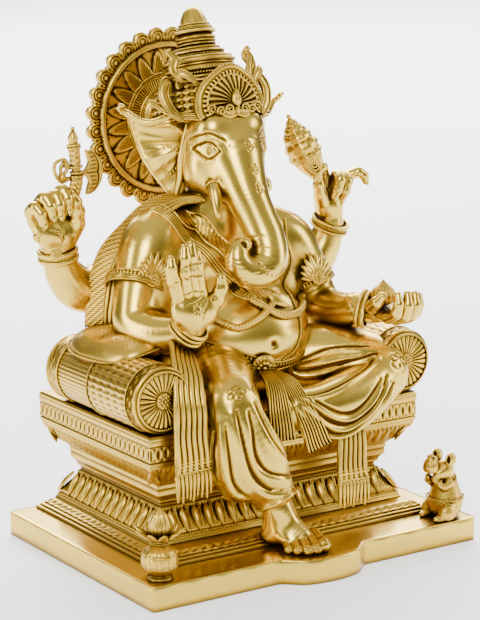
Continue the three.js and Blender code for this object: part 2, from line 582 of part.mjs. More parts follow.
// ---------------------------------------------------------------- ornaments worn by the figure
const along = (stations, i) => {
  const [a, b] = [at(...stations[i].slice(0, 3)), at(...stations[i + 1].slice(0, 3))];
  return b.sub(a).normalize();
};
const BANGLE_BITE = 2.5; // how deep a bangle sits in the wrist
const ARMLET_BITE = 3;
const bangle = (stations) => () => {
  const last = stations.length - 1;
  const axis = along(stations, last - 1);
  const centre = at(...stations[last].slice(0, 3)).addScaledVector(axis, -6 * K);
  return hoop(centre, axis, K * stations[last][3] + BANGLE_TUBE - BANGLE_BITE, BANGLE_TUBE, 1.3);
};
const armlet = (stations) => () => {
  const centre = at(...stations[1].slice(0, 3));
  return hoop(centre, along(stations, 1), K * stations[1][3] + ARMLET_TUBE - ARMLET_BITE, ARMLET_TUBE, 1.6);
};
const belt = () => {
  const ring = new THREE.TorusGeometry(1, 0.075, 5, 18).scale(108 * K, 92 * K, 90 * K);
  const centre = at(0, 30, 50);
  return solid(ring.rotateX(0.2).translate(centre.x, centre.y, centre.z));
};
const CHEST_SASH = [
  [-92, 66, 270, 8], [-72, 22, 250, 9], [-50, 0, 214, 10], [-22, -20, 170, 10], [4, -38, 146, 9],
  [22, -50, 132, 7],
];
const chestSash = (grow) => limb(CHEST_SASH, grow);

// ---------------------------------------------------------------- small castings on the plate
const [KX, KY] = KALASH_AT;
const KALASH_NECK = PLATE_THICKNESS + 2 * KALASH_RADIUS + 6;
const kalashPot = () => {
  const [r, z] = [KALASH_RADIUS, PLATE_THICKNESS];
  const profile = [
    [0, z], [r * 0.62, z], [r * 0.62, z + 4], [r * 0.42, z + 8], [r * 0.85, z + 16], [r, z + r + 6],
    [r * 0.82, z + r * 1.6 + 4], [r * 0.45, KALASH_NECK - 4], [r * 0.5, KALASH_NECK], [0, KALASH_NECK],
  ];
  return turned(profile).translate([KX, KY, 0]).subtract(boltRoom([KALASH_AT]));
};
const kalashCoconut = () => {
  const z = KALASH_NECK + GAP;
  const husk = [[0, z], [12, z], [14, z + 10], [11, z + 24], [4, z + 36], [0, z + 42]];
  return turned(husk).translate([KX, KY, 0]);
};

const M = MOUSE_HEIGHT / 122; // the mouse's stations are given at this height
const [MX, MY] = MOUSE_AT;
const inMouse = (stations) =>
  stations.map(([x, y, z, r]) => [MX + M * x, MY + M * y, PLATE_THICKNESS + M * z, M * r]);
const free = { sides: 7, figure: false };
const mouseHead = (grow) =>
  join([
    limb(inMouse([[0, 0, 104, 14], [-8, -1, 108, 13], [-22, -2, 112, 6]]), grow, free),
    limb(inMouse([[4, -10, 110, 5], [13, -16, 113, 5]]), grow, { ...free, sides: 6 }),
    limb(inMouse([[4, 10, 110, 5], [13, 16, 113, 5]]), grow, { ...free, sides: 6 }),
  ]);
const MOUSE_BODY = [[4, 2, 14, 20], [6, 3, 36, 24], [4, 1, 62, 21], [-2, -2, 82, 15], [-6, -3, 94, 12]];
const mouse = (grow) =>
  join([
    mouseHead(grow),
    limb(inMouse(MOUSE_BODY), grow, free),
    limb(inMouse([[8, -16, 20, 13], [0, -24, 12, 10], [-18, -28, 6, 7]]), grow, free),
    limb(inMouse([[8, 20, 20, 13], [0, 26, 12, 10], [-18, 28, 6, 7]]), grow, free),
    limb(inMouse([[-6, -14, 72, 8], [-22, -16, 66, 7], [-33, -10, 82, 7]]), grow, { ...free, sides: 6 }),
    limb(inMouse([[-6, 14, 72, 8], [-22, 14, 66, 7], [-33, 8, 82, 7]]), grow, { ...free, sides: 6 }),
  ])
    .trimByPlane([0, 0, 1], PLATE_THICKNESS - grow)
    .subtract(boltRoom([MOUSE_AT]));
const mouseSweet = (grow) => limb(inMouse([[-34, -1, 92, 14], [-37, -1, 100, 12]]), grow, free);

// ---------------------------------------------------------------- assembly
const BRASS = { polished: [0xd9b75a, 0.24], antiqued: [0xb8923c, 0.36], steel: [0x8c8f94, 0.4] };
const material = (kind) =>
  new THREE.MeshStandardMaterial({ color: BRASS[kind][0], roughness: BRASS[kind][1], metalness: 1 });

// Earlier pieces keep their shape; each later one is relieved by GAP where it meets them.
const pieces = [
  ["base_plate", "polished", basePlate],
  ["throne_plinth", "antiqued", plinth],
  ["throne_lower_lotus", "antiqued", lowerLotus],
  ["throne_waist", "antiqued", waist],
  ["throne_upper_lotus", "antiqued", upperLotus],
  ["throne_seat_slab", "antiqued", seatSlab],
  ["seat_cushion", "antiqued", seatCushion],
  ...THRONE_BOLTS.map((p, i) => ["throne_bolt_" + (i + 1), "steel", () => bolt(p)]),
  ["kalash_bolt", "steel", () => bolt(KALASH_AT)],
  ["mouse_bolt", "steel", () => bolt(MOUSE_AT)],
  ["torso", "polished", torso],
  ["head_and_trunk", "polished", head],
  ["bolster_right", "antiqued", bolster(-1)],
  ["bolster_left", "antiqued", bolster(1)],
  ["leg_right_hanging", "polished", legRight],
  ["leg_left_folded", "polished", legLeft],
  ["foot_right", "polished", footRight],
  ["dhoti_pleats", "polished", dhotiPleats],
  ["dhoti_swag", "polished", dhotiSwag],
  ["arm_front_right", "polished", arm(FRONT_RIGHT_ARM)],
  ["arm_front_left", "polished", arm(FRONT_LEFT_ARM)],
  ["arm_rear_right", "polished", arm(REAR_RIGHT_ARM)],
  ["arm_rear_left", "polished", arm(REAR_LEFT_ARM)],
  ["elbow_pillow", "antiqued", elbowPillow],
  ["axe_shaft", "antiqued", axeShaft],
  ["conch", "antiqued", conch],
  ["hand_front_right", "polished", handRaised],
  ["hand_front_left", "polished", handOpen],
  ["hand_rear_right", "polished", fist],
  ["hand_rear_left", "polished", handPinch],
  ["axe_blade", "antiqued", axeHead],
  ["modak", "antiqued", modak],
  ["bangle_front_right", "antiqued", bangle(FRONT_RIGHT_ARM)],
  ["bangle_front_left", "antiqued", bangle(FRONT_LEFT_ARM)],
  ["bangle_rear_right", "antiqued", bangle(REAR_RIGHT_ARM)],
  ["bangle_rear_left", "antiqued", bangle(REAR_LEFT_ARM)],
  ["armlet_right", "antiqued", armlet(FRONT_RIGHT_ARM)],
  ["armlet_left", "antiqued", armlet(FRONT_LEFT_ARM)],
  ["ear_right", "polished", ear(-1)],
  ["ear_left", "polished", ear(1)],
  ["tusk_right", "polished", tuskRight],
  ["tusk_left", "polished", tuskLeft],
  ["crown_cap", "antiqued", crownCap],
  ["crown_tower", "antiqued", crownTower],
  ["crown_finial", "antiqued", crownFinial],
  ["crown_crest", "antiqued", crownCrest],
  ["halo_disc", "antiqued", haloDisc],
  ["halo_stem", "antiqued", haloStem],
  ["chest_sash", "antiqued", chestSash],
  ["waist_belt", "antiqued", belt],
  ["shawl", "antiqued", shawl],
  ["sash_tail_right", "antiqued", tailRight],
  ["sash_tail_left", "antiqued", tailLeft],
  ["kalash_pot", "antiqued", kalashPot],
  ["kalash_coconut", "antiqued", kalashCoconut],
  ["mouse", "antiqued", mouse],
  ["mouse_sweet", "antiqued", mouseSweet],
];

const main = (shape) => shape.decompose().reduce((a, b) => (b.volume() > a.volume() ? b : a));
const touching = (a, b) => [0, 1, 2].every((k) => a.min[k] < b.max[k] + GAP && b.min[k] < a.max[k] + GAP);

const group = new THREE.Group();
const placed = [];
for (const [name, kind, build] of pieces) {
  const full = build(0);
  const box = full.boundingBox();
  const met = placed.filter((p) => touching(box, p.box));
  const cut = met.reduce((shape, p) => shape.subtract(p.grown()), full);
  const mesh = new THREE.Mesh(geometryOf(main(cut)), material(kind));
  mesh.name = name;
  group.add(mesh);
  placed.push({ box, grown: () => build(GAP) });
}

export default group;
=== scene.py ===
import json
import math

import bpy
import numpy as np
from mathutils import Matrix, Vector
from mathutils.kdtree import KDTree

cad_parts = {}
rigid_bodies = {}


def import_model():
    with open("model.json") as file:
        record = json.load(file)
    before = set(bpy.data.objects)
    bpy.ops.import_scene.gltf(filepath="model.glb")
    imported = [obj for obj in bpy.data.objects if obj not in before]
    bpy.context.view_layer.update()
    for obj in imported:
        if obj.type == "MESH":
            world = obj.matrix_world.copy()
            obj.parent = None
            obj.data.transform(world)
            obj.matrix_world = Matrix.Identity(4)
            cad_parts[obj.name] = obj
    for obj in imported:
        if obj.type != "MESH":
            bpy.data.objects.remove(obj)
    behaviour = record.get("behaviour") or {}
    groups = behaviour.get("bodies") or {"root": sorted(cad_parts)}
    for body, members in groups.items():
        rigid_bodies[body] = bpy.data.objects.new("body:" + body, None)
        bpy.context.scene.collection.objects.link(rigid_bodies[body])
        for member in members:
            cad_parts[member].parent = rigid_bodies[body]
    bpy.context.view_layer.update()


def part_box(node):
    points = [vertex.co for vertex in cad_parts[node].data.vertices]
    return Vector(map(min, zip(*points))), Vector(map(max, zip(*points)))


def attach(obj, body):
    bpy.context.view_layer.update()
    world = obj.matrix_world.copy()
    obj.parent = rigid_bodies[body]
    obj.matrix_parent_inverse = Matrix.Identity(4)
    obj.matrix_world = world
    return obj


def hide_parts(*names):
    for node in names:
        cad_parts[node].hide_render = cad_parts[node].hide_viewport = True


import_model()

TAU = 2 * math.pi

# ---------------------------------------------------------------- places from the frame, in millimetres


def node(name):
    """The lowest and highest corners of a CAD node."""
    low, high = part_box(name)
    return np.array(low) * 1000, np.array(high) * 1000


CUSHION_TOP = node("seat_cushion")[1][2]
STATION_HEIGHT = 534  # the height from cushion to finial that the figure's stations are given at
K = (node("crown_finial")[1][2] - CUSHION_TOP) / STATION_HEIGHT
PLATE_LOW, PLATE_HIGH = node("base_plate")
PLATE_TOP = PLATE_HIGH[2]
SLAB_LOW, SLAB_HIGH = node("throne_seat_slab")
MID = -14  # the head's own mid-plane


def at(points):
    """Figure stations to row millimetres: x, y from the seat's centre, z from the cushion's top."""
    p = np.atleast_2d(np.array(points, float))
    out = p.copy()
    out[:, :3] = p[:, :3] * K
    out[:, 2] += CUSHION_TOP
    if p.shape[1] > 3:
        out[:, 3:] = p[:, 3:] * K
    return out


# ---------------------------------------------------------------- curves


def spline(points, count):
    """A Catmull-Rom curve through rows of any width, with count samples."""
    p = np.array(points, float)
    if len(p) == 2:
        t = np.linspace(0, 1, count)[:, None]
        return p[0] * (1 - t) + p[1] * t
    q = np.vstack([2 * p[0] - p[1], p, 2 * p[-1] - p[-2]])
    u = np.linspace(0, len(p) - 1 - 1e-9, count)
    i = u.astype(int)
    t = (u - i)[:, None]
    a, b, c, d = q[i], q[i + 1], q[i + 2], q[i + 3]
    return 0.5 * (2 * b + (c - a) * t + (2 * a - 5 * b + 4 * c - d) * t**2 + (3 * b - a - 3 * c + d) * t**3)


def unit(v):
    """The same direction with length one."""
    v = np.array(v, float)
    return v / np.maximum(np.linalg.norm(v, axis=-1, keepdims=True), 1e-9)


def frames(path, up=(0, 0, 1)):
    """Tangent, side and lift at each point of a path, turned as little as possible along it."""
    tangent = unit(np.gradient(path, axis=0))
    side = np.cross(tangent[0], unit(up))
    if np.linalg.norm(side) < 0.2:
        side = np.cross(tangent[0], (1, 0.1, 0))
    sides = []
    for t in tangent:
        side = unit(side - t * np.dot(side, t))
        sides.append(side)
    sides = np.array(sides)
    return tangent, sides, np.cross(sides, tangent)


def mirrored(points):
    """The same stations on the other side of the head."""
    p = np.array(points, float)
    p[:, 0] = 2 * MID - p[:, 0]
    return p


def relax_path(path, rounds=4):
    """The same path without small jumps."""
    for _ in range(rounds):
        path[1:-1] = 0.5 * path[1:-1] + 0.25 * (path[:-2] + path[2:])
    return path


# ---------------------------------------------------------------- meshes in plain arrays: (vertices, faces)


def outward(mesh):
    """The same mesh with its faces turned outwards, by the sign of its volume about its middle."""
    verts, faces = np.asarray(mesh[0], float), np.asarray(mesh[1], int)
    a, b, c, d = [verts[faces[:, i]] - verts.mean(0) for i in range(4)]
    volume = np.einsum("ij,ij->i", a, np.cross(b, c)).sum() + np.einsum("ij,ij->i", a, np.cross(c, d)).sum()
    return (verts, faces if volume > 0 else faces[:, ::-1])


def merge(parts):
    """Several meshes as one."""
    verts, faces, start = [], [], 0
    for v, f in map(outward, parts):
        verts.append(np.asarray(v, float))
        faces.append(np.asarray(f, int) + start)
        start += len(v)
    return np.vstack(verts), np.vstack(faces)


def grid(rows, closed_rows=False, closed_columns=True):
    """Quads through an array of points [row, column, xyz]."""
    rows = np.asarray(rows, float)
    n, m = rows.shape[:2]
    index = np.arange(n * m).reshape(n, m)
    a = index if closed_rows else index[:-1]
    b = np.roll(index, -1, 0) if closed_rows else index[1:]
    if closed_columns:
        quads = np.stack([a, np.roll(a, -1, 1), np.roll(b, -1, 1), b], -1)
    else:
        quads = np.stack([a[:, :-1], a[:, 1:], b[:, 1:], b[:, :-1]], -1)
    return rows.reshape(-1, 3), quads.reshape(-1, 4)


def tube(path, radius, sides=10, flat=1.0, up=(0, 0, 1), ends=True, closed=False, section=None):
    """A tube of changing radius. flat squashes it along its lift; section is a radius factor by angle."""
    path = np.asarray(path, float)
    radius = np.broadcast_to(np.asarray(radius, float), (len(path),))
    tangent, side, lift = frames(path, up)
    turn = np.arange(sides) / sides * TAU
    factor = np.ones(sides) if section is None else section(turn)
    rings = (
        path[:, None]
        + (radius[:, None] * (np.cos(turn) * factor))[..., None] * side[:, None]
        + (radius[:, None] * (np.sin(turn) * factor) * flat)[..., None] * lift[:, None]
    )
    if closed:
        return grid(rings, closed_rows=True)
    if ends:
        first = [
            rings[0] * s + path[0] * (1 - s) - tangent[0] * radius[0] * d
            for s, d in ((0.05, 0.8), (0.7, 0.55))
        ]
        last = [
            rings[-1] * s + path[-1] * (1 - s) + tangent[-1] * radius[-1] * d
            for s, d in ((0.7, 0.55), (0.05, 0.8))
        ]
        rings = np.concatenate([np.array(first), rings, np.array(last)])
    return grid(rings)


def rope(path, radius, strands=2, pitch=6.0, sides=6):
    """Twisted strands round a path."""
    path = np.asarray(path, float)
    length = np.concatenate([[0], np.cumsum(np.linalg.norm(np.diff(path, axis=0), axis=1))])
    _, side, lift = frames(path)
    out = []
    for s in range(strands):
        turn = length / pitch * TAU + s * TAU / strands
        off = np.cos(turn)[:, None] * side + np.sin(turn)[:, None] * lift
        out.append(tube(path + off * radius * 0.5, radius * 0.62, sides))
    return merge(out)


def resample(path, step):
    """The same path with points a fixed step apart."""
    path = np.asarray(path, float)
    length = np.concatenate([[0], np.cumsum(np.linalg.norm(np.diff(path, axis=0), axis=1))])
    count = max(2, int(round(length[-1] / step)) + 1)
    where = np.linspace(0, length[-1], count)
    return np.stack([np.interp(where, length, path[:, k]) for k in range(path.shape[1])], -1)


def blob(centre, radii, axes=None, rings=6, sides=8):
    """A bead: an ellipsoid on its own axes."""
    lat = np.linspace(-math.pi / 2 + 0.25, math.pi / 2 - 0.25, rings)
    turn = np.arange(sides) / sides * TAU
    unit_points = np.stack(
        [
            np.cos(lat)[:, None] * np.cos(turn), np.cos(lat)[:, None] * np.sin(turn),
            np.repeat(np.sin(lat)[:, None], sides, 1)
        ],
        -1
    )
    p = unit_points * np.array(radii)
    if axes is not None:
        p = p @ np.array(axes)
    v, f = grid(p + np.array(centre))
    n, m = rings, sides
    caps = [[i, i + 1, m - 2 - i, m - 1 - i] for i in range(0, m // 2 - 1)]
    low = [c[::-1] for c in caps]
    top = [[x + (n - 1) * m for x in c] for c in caps]
    return v, np.vstack([f, low, top])


def beads(path, radius, spacing=1.0):
    """Round beads along a path, touching when spacing is 1."""
    return merge([blob(p, (radius,) * 3, rings=5, sides=6) for p in resample(path, 2 * radius * spacing)])


def turned(profile, centre, segments=64, axis=(0, 0, 1), wave=None):
    """A solid of revolution. profile is [radius, height]; wave(turn, row) scales the radius."""
    profile = np.array(profile, float)
    turn = np.arange(segments) / segments * TAU
    z = unit(axis)
    x = unit(np.cross((0, 1, 0.01), z))
    y = np.cross(z, x)
    radius = np.repeat(profile[:, :1], segments, 1)
    if wave is not None:
        radius = radius * np.array([wave(turn, i / (len(profile) - 1)) for i in range(len(profile))])
    p = (
        radius[..., None] * (np.cos(turn)[:, None] * x + np.sin(turn)[:, None] * y)
        + profile[:, 1:, None] * z
    )
    return grid(p + np.array(centre, float))


def leaf(base, direction, normal, length, width, lift=0.25, ribs=3, rows=9, columns=7):
    """A pointed petal with a raised midrib and side ribs, standing on a surface."""
    d, n = unit(direction), unit(normal)
    s = np.cross(n, d)
    u = np.linspace(0, 1, rows)[:, None]
    v = np.linspace(-1, 1, columns)[None, :]
    half = width / 2 * np.sin(np.pi * np.clip(u, 0, 1) ** 0.75) ** 0.7 * (1 - 0.15 * u) + width * 0.02
    height = (
        lift * width * (1 - v**2) * np.sin(np.pi * np.minimum(u * 0.9 + 0.08, 1))
        + lift * width * 0.16 * np.cos(v * ribs * np.pi)
    )
    top = np.asarray(base) + (u * length)[..., None] * d + (v * half)[..., None] * s + height[..., None] * n
    under = (
        np.asarray(base) + (u * length)[..., None] * d + (v * half)[..., None] * s - (0.12 * width) * n
        + np.zeros_like(height)[..., None]
    )
    ring = np.concatenate([top, under[:, ::-1]], 1)
    return grid(ring)


# ---------------------------------------------------------------- clay: a distance field and its surface


class Clay:
    """A block of distances in millimetres, shaped by smooth joins and cuts, then skinned."""

    EMPTY = 60.0  # the distance in cells that no shape has reached

    def __init__(self, low, high, step):
        self.low = np.array(low, float)
        self.step = step
        self.shape = tuple(np.ceil((np.array(high, float) - self.low) / step).astype(int) + 1)
        self.d = np.full(self.shape, self.EMPTY, np.float32)

    def window(self, low, high, margin):
        """The cells round a box, as three slices."""
        a = np.clip(
            np.floor((np.array(low) - margin - self.low) / self.step).astype(int), 0,
            np.array(self.shape) - 1
        )
        b = np.clip(
            np.ceil((np.array(high) + margin - self.low) / self.step).astype(int) + 1, 1, self.shape
        )
        cut = tuple(slice(i, max(j, i + 1)) for i, j in zip(a, b))
        return cut

    def places(self, cut):
        """The x, y and z of a cut's cells, each along its own axis."""
        spans = [self.low[n] + self.step * np.arange(cut[n].start, cut[n].stop) for n in range(3)]
        return [
            spans[n].astype(np.float32).reshape([-1 if m == n else 1 for m in range(3)]) for n in range(3)
        ]

    def blend(self, cut, d, k):
        """Adds a shape, with a smooth join of width k."""
        old = self.d[cut]
        if k <= 0:
            self.d[cut] = np.minimum(old, d)
            return
        h = np.clip(0.5 + 0.5 * (old - d) / k, 0, 1)
        self.d[cut] = old * (1 - h) + d * h - k * h * (1 - h)

    def carve(self, cut, d, k):
        """Takes a shape away, with a smooth edge of width k."""
        old = self.d[cut]
        h = np.clip(0.5 - 0.5 * (old + d) / max(k, 1e-3), 0, 1)
        self.d[cut] = old * (1 - h) - d * h + k * h * (1 - h)

    def limb(self, stations, k=6.0, samples=5, cut_out=False, squash=None):
        """A rounded limb through [x, y, z, radius]. squash=(axis, factor) flattens it along an axis."""
        p = spline(stations, (len(stations) - 1) * samples + 1)
        top = p[:, 3].max()
        cut = self.window((p[:, :3] - top).min(0), (p[:, :3] + top).max(0), k + 3 * self.step)
        best = np.full(self.d[cut].shape, self.EMPTY, np.float32)
        for a, b in zip(p[:-1], p[1:]):
            r = max(a[3], b[3]) + k + 4 * self.step
            sub = self.window(np.minimum(a[:3], b[:3]) - r, np.maximum(a[:3], b[:3]) + r, 0)
            inner = tuple(slice(s.start - c.start, s.stop - c.start) for s, c in zip(sub, cut))
            inner = tuple(slice(max(0, s.start), max(0, s.stop)) for s in inner)
            sub = tuple(slice(s.start + c.start, min(s.stop + c.start, c.stop)) for s, c in zip(inner, cut))
            x, y, z = self.places(sub)
            inner = tuple(slice(s.start - c.start, s.stop - c.start) for s, c in zip(sub, cut))
            ab = b[:3] - a[:3]
            t = np.clip(
                ((x - a[0]) * ab[0] + (y - a[1]) * ab[1] + (z - a[2]) * ab[2]) / max(ab @ ab, 1e-6), 0, 1
            )
            dx, dy, dz = x - a[0] - t * ab[0], y - a[1] - t * ab[1], z - a[2] - t * ab[2]
            if squash is not None:
                n = unit(squash[0])
                along = dx * n[0] + dy * n[1] + dz * n[2]
                extra = along * along * (1 / squash[1] ** 2 - 1)
                far = np.sqrt(dx * dx + dy * dy + dz * dz + extra)
            else:
                far = np.sqrt(dx * dx + dy * dy + dz * dz)
            best[inner] = np.minimum(best[inner], far - (a[3] + t * (b[3] - a[3])))
        (self.carve if cut_out else self.blend)(cut, best, k)

    def ball(self, centre, radii, k=10.0, axes=None, cut_out=False):
        """An ellipsoid. axes are its rows when it isn't square to the block."""
        c, r = np.array(centre, float), np.array(radii, float)
        reach = r.max() if axes is not None else r
        cut = self.window(c - reach, c + reach, k + 3 * self.step)
        x, y, z = [place - middle for place, middle in zip(self.places(cut), c)]
        if axes is not None:
            m = np.array(axes, float)
            x, y, z = [m[i, 0] * x + m[i, 1] * y + m[i, 2] * z for i in range(3)]
        k0 = np.sqrt((x / r[0]) ** 2 + (y / r[1]) ** 2 + (z / r[2]) ** 2)
        k1 = np.sqrt((x / r[0] ** 2) ** 2 + (y / r[1] ** 2) ** 2 + (z / r[2] ** 2) ** 2)
        (self.carve if cut_out else self.blend)(cut, k0 * (k0 - 1) / np.maximum(k1, 1e-6), k)

    def floor(self, height):
        """Cuts everything below a level."""
        z = self.low[2] + self.step * np.arange(self.shape[2])
        self.d = np.maximum(self.d, (height - z)[None, None, :].astype(np.float32))

    def skin(self):
        """The zero surface as quads, one vertex in each cell that the surface crosses."""
        v = self.d
        inside = v < 0
        count = sum(
            inside[i : v.shape[0] - 1 + i, j : v.shape[1] - 1 + j, k : v.shape[2] - 1 + k].astype(np.int8)
            for i in (0, 1) for j in (0, 1) for k in (0, 1)
        )
        cells = np.argwhere((count > 0) & (count < 8))
        index = np.full(count.shape, -1, np.int64)
        index[tuple(cells.T)] = np.arange(len(cells))
        total, hits = np.zeros((len(cells), 3)), np.zeros(len(cells))
        corners = np.array([(i, j, k) for i in (0, 1) for j in (0, 1) for k in (0, 1)])
        for a in corners:
            for axis in range(3):
                if a[axis]:
                    continue
                b = a.copy()
                b[axis] = 1
                va, vb = v[tuple((cells + a).T)], v[tuple((cells + b).T)]
                cross = (va < 0) != (vb < 0)
                t = np.where(cross, va / np.where(cross, va - vb, 1), 0)
                point = a + np.eye(3)[axis] * t[:, None]
                total += point * cross[:, None]
                hits += cross
        verts = (cells + total / hits[:, None]) * self.step + self.low
        faces = []
        for axis in range(3):
            o1, o2 = [n for n in range(3) if n != axis]
            low = [slice(None)] * 3
            high = [slice(None)] * 3
            low[axis], high[axis] = slice(0, -1), slice(1, None)
            change = inside[tuple(low)] != inside[tuple(high)]
            spots = np.argwhere(change)
            keep = (spots[:, o1] > 0) & (spots[:, o2] > 0) & (
                spots[:, o1] < v.shape[o1] - 1
            ) & (spots[:, o2] < v.shape[o2] - 1)
            spots = spots[keep]
            e1, e2 = np.eye(3, dtype=int)[o1], np.eye(3, dtype=int)[o2]
            quad = np.stack([index[tuple((spots - s).T)] for s in (e1 + e2, e2, 0 * e1, e1)], -1)
            flip = inside[tuple(spots.T)] == (axis == 1)
            quad[flip] = quad[flip][:, ::-1]
            faces.append(quad)
        return verts, np.vstack(faces)


def normals_of(verts, faces):
    """Smooth vertex normals."""
    a, b = verts[faces[:, 2]] - verts[faces[:, 0]], verts[faces[:, 3]] - verts[faces[:, 1]]
    n = np.cross(a, b)
    out = np.zeros_like(verts)
    for c in range(4):
        np.add.at(out, faces[:, c], n)
    return unit(out)


def relax(verts, faces, rounds=2, amount=0.5):
    """Moves each vertex towards the middle of its faces' corners."""
    count = np.bincount(faces.ravel(), minlength=len(verts))[:, None]
    for _ in range(rounds):
        middle = verts[faces].mean(1)
        total = np.zeros_like(verts)
        for c in range(4):
            np.add.at(total, faces[:, c], middle)
        verts = verts * (1 - amount) + total / np.maximum(count, 1) * amount
    return verts


def distance_to(verts, path):
    """Each vertex's distance to a path, and how far along it (0 to 1) the nearest point is."""
    path = np.asarray(path, float)
    best, where = np.full(len(verts), 1e9), np.zeros(len(verts))
    for i, (a, b) in enumerate(zip(path[:-1], path[1:])):
        ab = b - a
        t = np.clip(((verts - a) @ ab) / max(ab @ ab, 1e-9), 0, 1)
        d = np.linalg.norm(verts - a - t[:, None] * ab, axis=1)
        near = d < best
        best[near], where[near] = d[near], (i + t[near]) / (len(path) - 1)
    return best, where


def chase(verts, normals, path, width, depth, taper=True):
    """Raises (depth > 0) or engraves (depth < 0) a line along a path."""
    path = np.asarray(path, float)
    near = np.all((verts > path.min(0) - 3 * width) & (verts < path.max(0) + 3 * width), axis=1)
    if not near.any():
        return verts
    d, t = distance_to(verts[near], path)
    ends = np.sin(np.pi * np.clip(t, 0.02, 0.98)) ** 0.35 if taper else 1
    verts[near] += normals[near] * (depth * np.exp(-((d / width) ** 2)) * ends)[:, None]
    return verts


# ---------------------------------------------------------------- brass

BRASS = {
    # high: rubbed high points, mid: mid tone, dark: lacquer patina in the creases and painted shade near
    # other pieces, bump: strength of the grain,
    # rough: roughness of the high points, grime: where the patina of hollows and the painted shade near
    # other pieces reach the dark tone
    "polished_brass": dict(
        high=(0.77, 0.53, 0.075),
        mid=(0.52, 0.31, 0.022),
        dark=(0.10, 0.042, 0.004),
        rough=0.20,
        patina_shade_stop=0.75,
        bump=0.10,
    ),
    "antique_brass": dict(
        high=(0.72, 0.47, 0.06),
        mid=(0.34, 0.19, 0.014),
        dark=(0.035, 0.014, 0.002),
        rough=0.26,
        patina_shade_stop=0.9,
        bump=0.30,
    ),
}


def link(tree, a, b):
    """Joins one socket to another."""
    tree.links.new(a, b)


def shader_node(tree, kind, **inputs):
    """A new node with some inputs set: From_Min sets "From Min"."""
    made = tree.nodes.new("ShaderNode" + kind)
    for name, value in inputs.items():
        made.inputs[name.replace("_", " ")].default_value = value
    return made


def sums(tree, operation, *sources):
    """A math node fed by sockets or plain numbers."""
    made = shader_node(tree, "Math")
    made.operation = operation
    for socket, source in zip(made.inputs, sources):
        if isinstance(source, float):
            socket.default_value = source
        else:
            link(tree, source, socket)
    return made


def tones(tree, first, last, *between):
    """A colour ramp from first to last, with (position, colour) stops between them."""
    made = shader_node(tree, "ValToRGB")
    ramp = made.color_ramp
    ramp.elements[0].color = (*first, 1)
    ramp.elements[1].color = (*last, 1)
    for position, colour in between:
        ramp.elements.new(position).color = (*colour, 1)
    return made


def material(name, **inputs):
    """A new material, its node tree and its main shader with some inputs set."""
    made = bpy.data.materials.new(name)
    made.use_nodes = True
    shader = made.node_tree.nodes["Principled BSDF"]
    for key, value in inputs.items():
        shader.inputs[key.replace("_", " ")].default_value = value
    return made, made.node_tree, shader


def brass(kind):
    """Cast brass: bright where rubbed, brown lacquer patina where it is hollow, and painted shade (ambient
    occlusion) where it is close to another piece.
    """
    spec = BRASS[kind]
    made, tree, shader = material(kind, Metallic=1.0)
    place = shader_node(tree, "TexCoord")
    hollow = shader_node(tree, "Attribute")
    hollow.attribute_name = "hollow"
    # ambient occlusion: paints shade into the colour where another surface is close
    near = shader_node(tree, "AmbientOcclusion", Distance=0.016)
    near.samples = 6
    cloud = shader_node(tree, "TexNoise", Scale=22, Detail=5)
    grain = shader_node(tree, "TexNoise", Scale=420, Detail=3)
    for texture in (cloud, grain):
        link(tree, place.outputs["Object"], texture.inputs["Vector"])

    ao_painted_shade = shader_node(tree, "MapRange", From_Min=0.75, From_Max=0.30)  # painted shade: darker where other surfaces are close (ambient occlusion)
    link(tree, near.outputs["AO"], ao_painted_shade.inputs["Value"])
    patina_plus_painted_shade = sums(tree, "ADD", ao_painted_shade.outputs["Result"], hollow.outputs["Fac"])
    uneven = shader_node(tree, "MapRange", To_Min=0.65, To_Max=1.25)
    link(tree, cloud.outputs["Fac"], uneven.inputs["Value"])
    patina_and_painted_shade = sums(tree, "MULTIPLY", patina_plus_painted_shade.outputs[0], uneven.outputs["Result"])
    patina_and_painted_shade.use_clamp = True

    # base colour ramp to the dark tone, fed by the patina of hollows and by the painted shade near other
    # pieces
    ramp = tones(tree, spec["high"], spec["dark"])
    ramp.color_ramp.elements[1].position = spec["patina_shade_stop"]
    ramp.color_ramp.elements.new(0.32).color = (*spec["mid"], 1)
    link(tree, patina_and_painted_shade.outputs[0], ramp.inputs["Fac"])
    link(tree, ramp.outputs["Color"], shader.inputs["Base Color"])

    rough = shader_node(tree, "MapRange", To_Min=spec["rough"], To_Max=spec["rough"] + 0.34)
    link(tree, patina_and_painted_shade.outputs[0], rough.inputs["Value"])
    streak = sums(tree, "MULTIPLY_ADD", cloud.outputs["Fac"], 0.10, rough.outputs["Result"])
    link(tree, streak.outputs[0], shader.inputs["Roughness"])

    bump = shader_node(tree, "Bump", Strength=spec["bump"], Distance=0.0006)
    link(tree, grain.outputs["Fac"], bump.inputs["Height"])
    link(tree, bump.outputs["Normal"], shader.inputs["Normal"])
    return made


def steel():
    """Plain bright steel with fine turning marks, for the hidden bolts."""
    made, tree, shader = material("steel_fastener", Metallic=1.0)
    place = shader_node(tree, "TexCoord")
    marks = shader_node(tree, "TexNoise", Scale=300)
    tone = tones(tree, (0.42, 0.43, 0.45), (0.62, 0.63, 0.66))
    rough = shader_node(tree, "MapRange", To_Min=0.28, To_Max=0.5)
    link(tree, place.outputs["Object"], marks.inputs["Vector"])
    link(tree, marks.outputs["Fac"], tone.inputs["Fac"])
    link(tree, tone.outputs["Color"], shader.inputs["Base Color"])
    link(tree, marks.outputs["Fac"], rough.inputs["Value"])
    link(tree, rough.outputs["Result"], shader.inputs["Roughness"])
    return made


MATERIALS = {kind: brass(kind) for kind in BRASS}
MATERIALS["steel_fastener"] = steel()


# ---------------------------------------------------------------- from arrays to pieces


